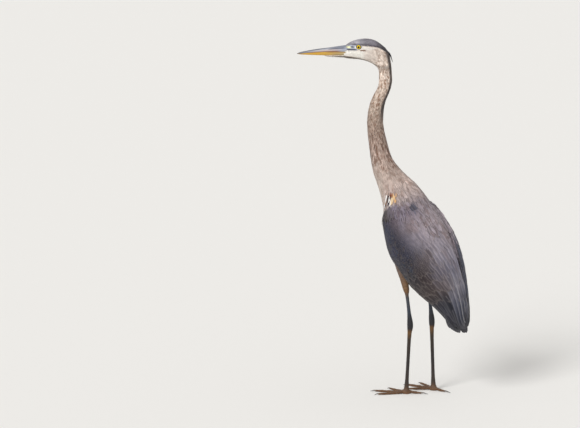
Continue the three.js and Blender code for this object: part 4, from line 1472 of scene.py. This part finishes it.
# ---- Tail ------------------------------------------------------------------------------------------
# Twelve short broad quills rooted in the rump, folded flat one over the next with the middle pair on top.
# Their tips are dark slate.
TAIL_FROM, TAIL_TO, TAIL_PAIRS = 330, 484, 6
TAIL_SPREAD_ROOT, TAIL_SPREAD_TIP = 1.6, 2.7
TAIL_STEP_DOWN = 0.9
TAIL_ROUNDING = 1.7
TAIL_HALF, TAIL_THICK = 0.0125, 0.0004

tail_points = places_of(solid("tail"))
tail_down, tail_back, _ = in_body(tail_points)
tail_levels = np.linspace(tail_down.min() + 4, tail_down.max() - 4, 8)
tail_top = [tail_back[np.abs(tail_down - level) < 16].max() for level in tail_levels]
tail_root = np.repeat(np.arange(TAIL_PAIRS), 2)
tail_side = np.tile((1, -1), TAIL_PAIRS)
steps = QUILL_VANE.stations
reach = TAIL_FROM + (TAIL_TO - TAIL_FROM - tail_root[:, None] ** 1.6 * TAIL_ROUNDING) * steps
lateral = tail_side[:, None] * (2 + tail_root[:, None] * (TAIL_SPREAD_ROOT + TAIL_SPREAD_TIP * steps))
drop = tail_root[:, None] * TAIL_STEP_DOWN + (tail_side[:, None] < 0) * 0.4
height = np.interp(reach, tail_levels, tail_top) - 1.0 - drop - lateral ** 2 * 0.008
lines = down_body * reach[..., None] + LEFT * lateral[..., None] + to_back * height[..., None]
lines = shoulder + lines / 1000
facings = unit(to_back + LEFT * lateral[..., None] * 0.012)
count = len(tail_root)
tail_bake = np.stack((0.5 + tail_side * (0.02 + tail_root * 0.03), np.full(count, 0.985)), 1)
vanes("tail_feathers", (QUILL_VANE, BLUNT_TIP), lines, facings, unit(np.gradient(lines, axis=1)), WING_DROOP,
      np.full(count, TAIL_THICK), np.full(count, (TAIL_TO - TAIL_FROM) / 1000), np.full(count, TAIL_HALF),
      tail_bake, marked(toned(np.tile(colour("#30323a"), (count, 1)), 0.05), 0.6, 0.4, 0.25), quill_feathers,
      "flight_feathers", "tail")

# ---- Plumes of the nape ----------------------------------------------------------------------------
# A young bird's first few black plumes, thin and limp, that hang from the back of the cap.
PLUME_LONG, PLUME_THICK, PLUME_DROOP = 0.048, 0.0003, 60.0
PLUMES = ((-0.7, 0.96, 2.0), (0.6, 1.0, 2.2), (0.0, 0.8, 1.8), (1.2, 0.7, 1.6))
PLUME_TIP = ((0, 0.3, 0.6, 0.9, 1), (0.3, 1.0, 0.8, 0.35, 0.0))

plume_points = places_of(solid("nape_plume"))
plume_levels = np.linspace(plume_points[:, 2].max() - 0.002, plume_points[:, 2].min() + 0.001, 7)
plume_line = np.array([
    plume_points[np.abs(plume_points[:, 2] - level) < 0.005].mean(0) for level in plume_levels])
shares = np.linspace(0, 1, 7)
fans, reaches, wides = np.array(PLUMES).T
steps = QUILL_VANE.stations
at = steps * reaches[:, None]
lines = np.stack([np.interp(at, shares, plume_line[:, i]) for i in range(3)], -1)
behind = unit(-head_ahead * 0.9 + head_left * 0.1 + UP * 0.25)
lines += (head_left * (fans[:, None] * at * 0.0018)[..., None]
          + behind * (np.arange(len(fans))[:, None, None] * 0.0007))
lines -= behind * (0.0022 * at + 0.0042 * (1 - soft(at, 0, 0.4)))[..., None]
turned = unit(behind * 0.45 + head_left * np.where(np.arange(len(fans)) % 2, 1.0, -1.0)[:, None])
facings = np.repeat(turned[:, None], len(steps), axis=1)
count = len(PLUMES)
vanes("nape_plumes", (QUILL_VANE, PLUME_TIP), lines, facings, unit(np.gradient(lines, axis=1)), PLUME_DROOP,
      np.full(count, PLUME_THICK), reaches * PLUME_LONG, wides / 1000, spine_bake(lines[:, 0]),
      marked(np.tile(colour("#26262c"), (count, 1)), 0.5, 0.3, 0.0), quill_feathers,
      "nape_plume", "nape_plume")

# ---- Scales of the legs and feet -------------------------------------------------------------------
# Horny plates grown from the skin: broad ones down the front of each leg and the top of each toe, and
# a mosaic of small ones round the sides and back.
PLATE_RISE, PLATE_SUNK = 0.3, 0.1
PLATE_SPACING, PLATE_OVERLAP = 2.35, 0.6
SHIN_PITCH, SHIN_WIDE = 5.2, 8.2
TOE_PITCH, TOE_WIDE = 3.9, 7.6
SCUTE_OVERLAP, SCUTE_CLEAR = 0.62, 0.0031
SOLE = 0.006


def leg_limb(points):
    """Which side each place is on, the middle of its foot, and the way down the leg or out along a toe."""
    feet = {side: middle(f"foot_{side}") for side in SIDES}
    near = {side: np.linalg.norm((points - feet[side])[:, :2], axis=1) for side in SIDES}
    on_left = np.where(points[:, 2] > 0.025, points[:, 1] > shoulder[1], near["left"] < near["right"])
    foot = np.where(on_left[:, None], feet["left"], feet["right"])
    outward = (points - foot) * (1, 1, 0)
    on_foot = soft(points[:, 2], 0.014, 0.024)[:, None]
    return on_left, foot, unit(unit(outward) * (1 - on_foot) - UP * on_foot)


def scutes():
    """Roots of the broad plates, one above another up each shin and one after another along each toe."""
    roots, broad = [], []
    for side in SIDES:
        _, foot_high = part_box(f"foot_{side}")
        shin_low, shin_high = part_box(f"tarsus_{side}")
        tarsus = places_of(solid(f"tarsus_{side}"))
        ends = [tarsus[np.abs(tarsus[:, 2] - level) < 0.008].mean(0) for level in (shin_low[2], shin_high[2])]
        for height in np.arange(foot_high[2] - 0.002, shin_high[2] - 0.003, SHIN_PITCH / 1000):
            centre = ends[0] + (ends[1] - ends[0]) * (height - ends[0][2]) / (ends[1] - ends[0])[2]
            hit = form_tree.ray_cast(Vector(centre) + Vector((0.05, 0, 0)), Vector((-1, 0, 0)))
            roots.append(hit[0][:])
            broad.append((SHIN_WIDE, SHIN_PITCH))
        foot = middle(f"foot_{side}")
        for toe in TOES:
            points = places_of(solid(f"toe_{side}_{toe}"))
            tip = points[np.linalg.norm((points - foot)[:, :2], axis=1).argmax()]
            run = np.linalg.norm((tip - foot)[:2]) * 1000
            for at in np.arange(13, run, TOE_PITCH):
                place = foot + (tip - foot) * (1, 1, 0) * at / run
                hit = form_tree.ray_cast(Vector((place[0], place[1], 0.05)), Vector((0, 0, -1)))
                if hit[0]:
                    roots.append(hit[0][:])
                    broad.append((TOE_WIDE - 2.2 * at / run, TOE_PITCH))
    return np.array(roots), np.array(broad)


def plate_area(centres):
    own = in_group("leg")(centres)
    _, normals, _ = nearest(form_tree, centres[own])
    own[own] = (normals[:, 2] > -0.35) | (centres[own, 2] > SOLE)
    return own


def horn_plate():
    """A low dome of a few sides, its points within 1 of the middle, sunk a little at the rim."""
    form = bmesh.new()
    bmesh.ops.create_uvsphere(form, u_segments=8, v_segments=4, radius=1)
    for vert in form.verts:
        if vert.co.z < -0.5:
            vert.co.z = -0.35
    mesh = mesh_of(form)
    return places_of(mesh), [list(face.vertices) for face in mesh.polygons]


big_roots, big_sizes = scutes()
small_roots = seeded(plate_area, lambda centres: np.full(len(centres), PLATE_SPACING))
scute_tree = indexed(big_roots)
clear = np.array([scute_tree.find(place)[2] > SCUTE_CLEAR for place in small_roots.tolist()])
small_roots = small_roots[clear]
roots = np.concatenate((big_roots, small_roots))
sizes = np.concatenate((
    big_sizes * SCUTE_OVERLAP, np.full((len(small_roots), 2), PLATE_SPACING * PLATE_OVERLAP)))
sizes = sizes * chance.uniform(0.94, 1.06, sizes.shape) / 1000
big = np.arange(len(roots)) < len(big_roots)
places, normals, _ = nearest(form_tree, roots)
on_left, foot, way = leg_limb(places)
way = unit(way - normals * (way * normals).sum(1, keepdims=True))
across = np.cross(normals, way)
plate, plate_faces = horn_plate()
square = 1.0 / np.maximum(np.abs(plate[:, :2]).max(1), 0.6) ** 0.4
wide, tall = sizes[:, 0, None], sizes[:, 1, None]
own = (places[:, None] + across[:, None] * (plate[:, 0] * square * wide)[..., None]
       + way[:, None] * (plate[:, 1] * square * tall)[..., None])
onto, facing, _ = nearest(form_tree, own.reshape(-1, 3))
rise = np.where(plate[:, 2] > 0, plate[:, 2] * PLATE_RISE, plate[:, 2] * 0.4) - PLATE_SUNK
rise = rise * np.where(big, 1.5, 1.0)[:, None] + np.where(big, 0.1, 0.0)[:, None] * (1 + plate[:, 1])
own = (onto + facing * rise.reshape(-1, 1) / 1000).reshape(own.shape)
mesh, loops = many("leg_scales", own, plate_faces)
angle = np.arctan2(normals[:, 1], normals[:, 0]) / (2 * math.pi) + 0.5
toes = places[:, 2] < 0.02
from_foot = (places - foot)[:, :2] * 4.4
bake_at = np.where(toes[:, None], np.stack((0.25 + from_foot[:, 0], 0.14 + from_foot[:, 1] * 0.28), 1),
                   np.stack((0.02 + 0.44 * angle, 0.3 + places[:, 2] * 2.1), 1))
bake_at[:, 0] += np.where(on_left, 0.0, 0.5)
around = plate[:, :2] * PATCH / 2
unwrap(mesh, "OFBake", bake_at[:, None] + around[None], loops)
tone = np.clip(chance.normal(1.0, 0.12, len(roots)), 0.6, 1.4)[:, None]
store(mesh, "ground", np.repeat(ground_colours(places) * tone, len(plate), axis=0))
store(mesh, "rim", np.tile(np.linalg.norm(plate[:, :2], axis=1), len(roots)))

# Leg horn: smooth plates with a dull wax-like gloss, darker in the joints between them.
plate_horn, tree = finish_named("leg horn plates")
to_rim = ranged(tree, stored(tree, "rim"), 1.08, 0.62, 0.55, 1.0, "SMOOTHSTEP")
place = add(tree, "ShaderNodeTexCoord").outputs["Object"]
worn = maths(tree, "MULTIPLY_ADD", noisy(tree, place, 110.0, 3.0), 0.5, 0.75)
tint = scaled(tree, stored(tree, "ground", "Color"), maths(tree, "MULTIPLY", to_rim, worn))
shade(tree, Base_Color=tint, Roughness=0.46, Specular_IOR_Level=0.4)
piece("leg_scales", mesh, plate_horn, "leg_scales")

# ---- Claws -----------------------------------------------------------------------------------------
# A curved horn sheath over the end bone of each toe, deeper than it is wide and flat below. The middle
# claw has a comb of fine teeth on its inner edge, which the bird preens with.
CLAW_SIDES, CLAW_RINGS = 14, 41
COMB_TOOTH, COMB_DEPTH = 0.0011, 0.00045
CLAW_WIDE, CLAW_BELOW, CLAW_CLEAR = 0.78, 0.8, 0.0003
claw_horn = horn_finish("claw horn", 0.4)


def claw(side, toe):
    node = f"claw_{side}_{toe}"
    points = places_of(solid(node))
    foot = middle(f"foot_{side}")
    out = unit((points.mean(0) - foot) * (1, 1, 0))
    far = (points - foot) @ out
    rings = [points[np.abs(far - cut) < 0.0012] for cut in np.linspace(far.min(), far.max(), 5)]
    middles = np.array([ring.mean(0) for ring in rings])
    highs = np.array([np.ptp(ring[:, 2]) / 2 for ring in rings])
    template = cut_cone(CLAW_SIDES, 1 - (1 - np.linspace(0, 1, CLAW_RINGS)) ** 1.2)
    own = places_of(template)
    across, height = round_cone(own)
    share = own[:, 2]
    places = np.linspace(0, 1, 5)
    centre = np.stack([eased(share, places, middles[:, i]) for i in range(3)], 1)
    high = np.interp(share, places, highs) * np.where(height < 0, CLAW_BELOW, 1.0)
    wide = np.interp(share, places, highs) * CLAW_WIDE
    if toe == "middle":
        teeth = np.abs((share * np.ptp(far) / COMB_TOOTH) % 1 - 0.5) * 2
        wide = wide + np.where((across * SIDES[side] < -0.6) & (share < 0.85), COMB_DEPTH * teeth, 0)
    made = centre + np.cross(UP, out) * (across * wide)[:, None] + UP * (height * high)[:, None]
    made[:, 2] = np.maximum(made[:, 2], CLAW_CLEAR)
    shaped(template, made, True)
    store(template, "ground", graded(share, (0, 0.3, 1), ("#6a5a4c", "#463d37", "#2b2624")))
    piece(f"horn_{node}", template, claw_horn, "claw_horn", node)


for side in SIDES:
    for toe in TOES:
        claw(side, toe)
